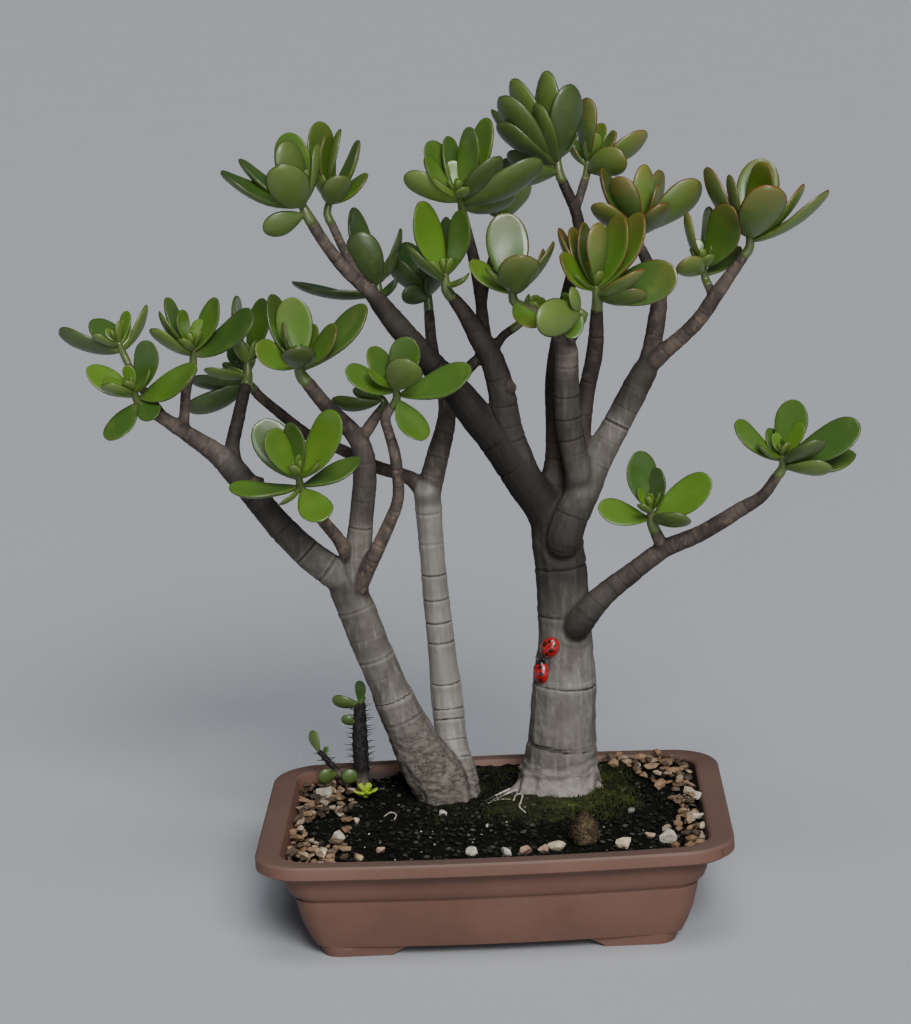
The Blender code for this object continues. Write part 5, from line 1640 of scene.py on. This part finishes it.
# %% Seat the ladybirds
def seat_ladybird(name):
    """A domed ladybird on the bark where its CAD part sits."""
    turn, lean, radius = LADYBIRDS[name]
    low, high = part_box(name)
    heart = ((low + high) / 2 - TRAY_MIDDLE) / MM + LADYBIRD_LIFT
    angle = math.radians(turn)
    out = Vector((math.sin(angle), -math.cos(angle), 0.08)).normalized()
    along = (UP - out * out.z).normalized()
    along.rotate(Matrix.Rotation(math.radians(lean), 3, out))
    side = along.cross(out)
    bm = layered_bmesh("shell_place")
    place_layer = bm.verts.layers.float_color["shell_place"]
    bmesh.ops.create_uvsphere(bm, u_segments=32, v_segments=20, radius=1.0)
    for vert in bm.verts:
        flat = vert.co.copy()
        vert[place_layer] = (0.5 + 0.5 * flat.x, 0.5 + 0.5 * flat.y, 0.5, 1.0)
        cleft = 0.07 * bell(flat.x, 0.0, 0.07) if flat.y < 0.62 else 0.0
        neck = 0.10 * bell(flat.y, 0.64, 0.07)
        shrink = 1.0 - cleft - neck
        vert.co = Vector((flat.x * 0.80 * shrink, flat.y * 1.02, max(flat.z, -0.12) * 0.72 * shrink))
    bmesh.ops.scale(bm, vec=(radius, radius, radius), verts=bm.verts)
    for x in (-0.35, 0.35):
        feeler = [(x * radius * 0.5, radius * 0.95, radius * 0.15, 0.35),
                  (x * radius * 1.1, radius * 1.22, radius * 0.30, 0.28)]
        add_tube(bm, feeler, resolution=2, step=0.8)
    seat = Matrix((side, along, out)).transposed().to_4x4()
    seat.translation = heart - out * (0.36 * radius)
    bmesh.ops.transform(bm, matrix=seat, verts=bm.verts)
    settle(name.replace("bird", "bird_shell"), bm, SHELL, [name])


for ladybird_name in LADYBIRDS:
    seat_ladybird(ladybird_name)

# %% [markdown]
# ## Floor, light and camera
# The stage is plain: a pale floor, a soft sun from the front right, a weaker one from high above, a
# panel in front that puts a sheen on the trunks, and a dim sky. The suns are wide discs, so shadows
# stay soft and the floor is lit evenly. The camera stands at the photograph's viewing angle. It was
# solved from the tray's edges, so its place is given from the middle of the tray and its three angles
# as yaw, pitch and roll.

# %% Stage
CAMERA_PLACE = Vector((0.03926, -1.86456, 0.66910))
CAMERA_YAW, CAMERA_PITCH, CAMERA_ROLL = (math.radians(a) for a in (-1.688, 12.225, -2.930))
FOCAL_PIXELS = 3000.0
IMAGE_HEIGHT = 1024.0
SENSOR = 36.0


def add_camera():
    """The camera, looking at the plant from the photograph's place."""
    lens = bpy.data.cameras.new("camera")
    lens.sensor_width = SENSOR
    lens.lens = FOCAL_PIXELS / IMAGE_HEIGHT * SENSOR
    lens.clip_end = 200.0
    camera = placed_object("camera", lens)
    forward = Vector((math.sin(CAMERA_YAW) * math.cos(CAMERA_PITCH),
                      math.cos(CAMERA_YAW) * math.cos(CAMERA_PITCH), -math.sin(CAMERA_PITCH)))
    level = Vector((math.cos(CAMERA_YAW), -math.sin(CAMERA_YAW), 0.0))
    above = level.cross(forward)
    right = math.cos(CAMERA_ROLL) * level + math.sin(CAMERA_ROLL) * above
    up = -math.sin(CAMERA_ROLL) * level + math.cos(CAMERA_ROLL) * above
    turn = Matrix((right, up, -forward)).transposed().to_4x4()
    turn.translation = TRAY_MIDDLE + CAMERA_PLACE
    camera.matrix_world = turn
    bpy.context.scene.camera = camera


FLOOR_HALF = 80.0
FLOOR_DROP = 0.0002


def add_floor():
    """A wide pale floor just under the feet."""
    bm = bmesh.new()
    bmesh.ops.create_grid(bm, x_segments=1, y_segments=1, size=FLOOR_HALF)
    paint = Finish("floor_paint", Roughness=0.9, Specular_IOR_Level=0.1)
    shade = paint.mix(paint.noise(3.0, 2.0), (0.418, 0.434, 0.466), (0.429, 0.445, 0.477))
    floor = placed_object("floor", mesh_of(bm, "floor"))
    floor.data.materials.append(paint.surface(Base_Color=shade))
    floor.location.z = -FLOOR_DROP


add_camera()
add_floor()

# %% Lamps
# Each lamp: its kind, the turn and lift that it shines from, its power, colour and own settings.
LAMPS = {
    "key": ("SUN", -74, 36, 2.9, (1.0, 0.99, 0.97), {"angle": math.radians(24)}),
    "front": ("AREA", -84, 8, 20.0, (1.0, 1.0, 1.0), {"size": 1.2}),
    "top": ("SUN", -82, 70, 1.15, (0.98, 0.99, 1.0), {"angle": math.radians(32)}),
}
LAMP_DISTANCE = 2.6
PLANT_HEART = Vector((0, 0, 0.25))
SKY_COLOUR = (0.60, 0.66, 0.78, 1.0)
SKY_STRENGTH = 0.08


def add_lamp(name):
    """A soft light that shines on the plant's middle."""
    kind, turn, lift, power, colour, settings = LAMPS[name]
    lamp = bpy.data.lights.new(name, kind)
    lamp.energy = power
    lamp.color = colour
    for setting, value in settings.items():
        setattr(lamp, setting, value)
    holder = placed_object(name, lamp)
    way = direction(turn, lift)
    holder.location = way * LAMP_DISTANCE + PLANT_HEART
    holder.rotation_mode = "QUATERNION"
    holder.rotation_quaternion = way.to_track_quat("Z", "Y")


for lamp_name in LAMPS:
    add_lamp(lamp_name)
world = bpy.data.worlds.new("studio")
world.use_nodes = True
sky = world.node_tree.nodes["Background"]
sky.inputs["Color"].default_value = SKY_COLOUR
sky.inputs["Strength"].default_value = SKY_STRENGTH
bpy.context.scene.world = world
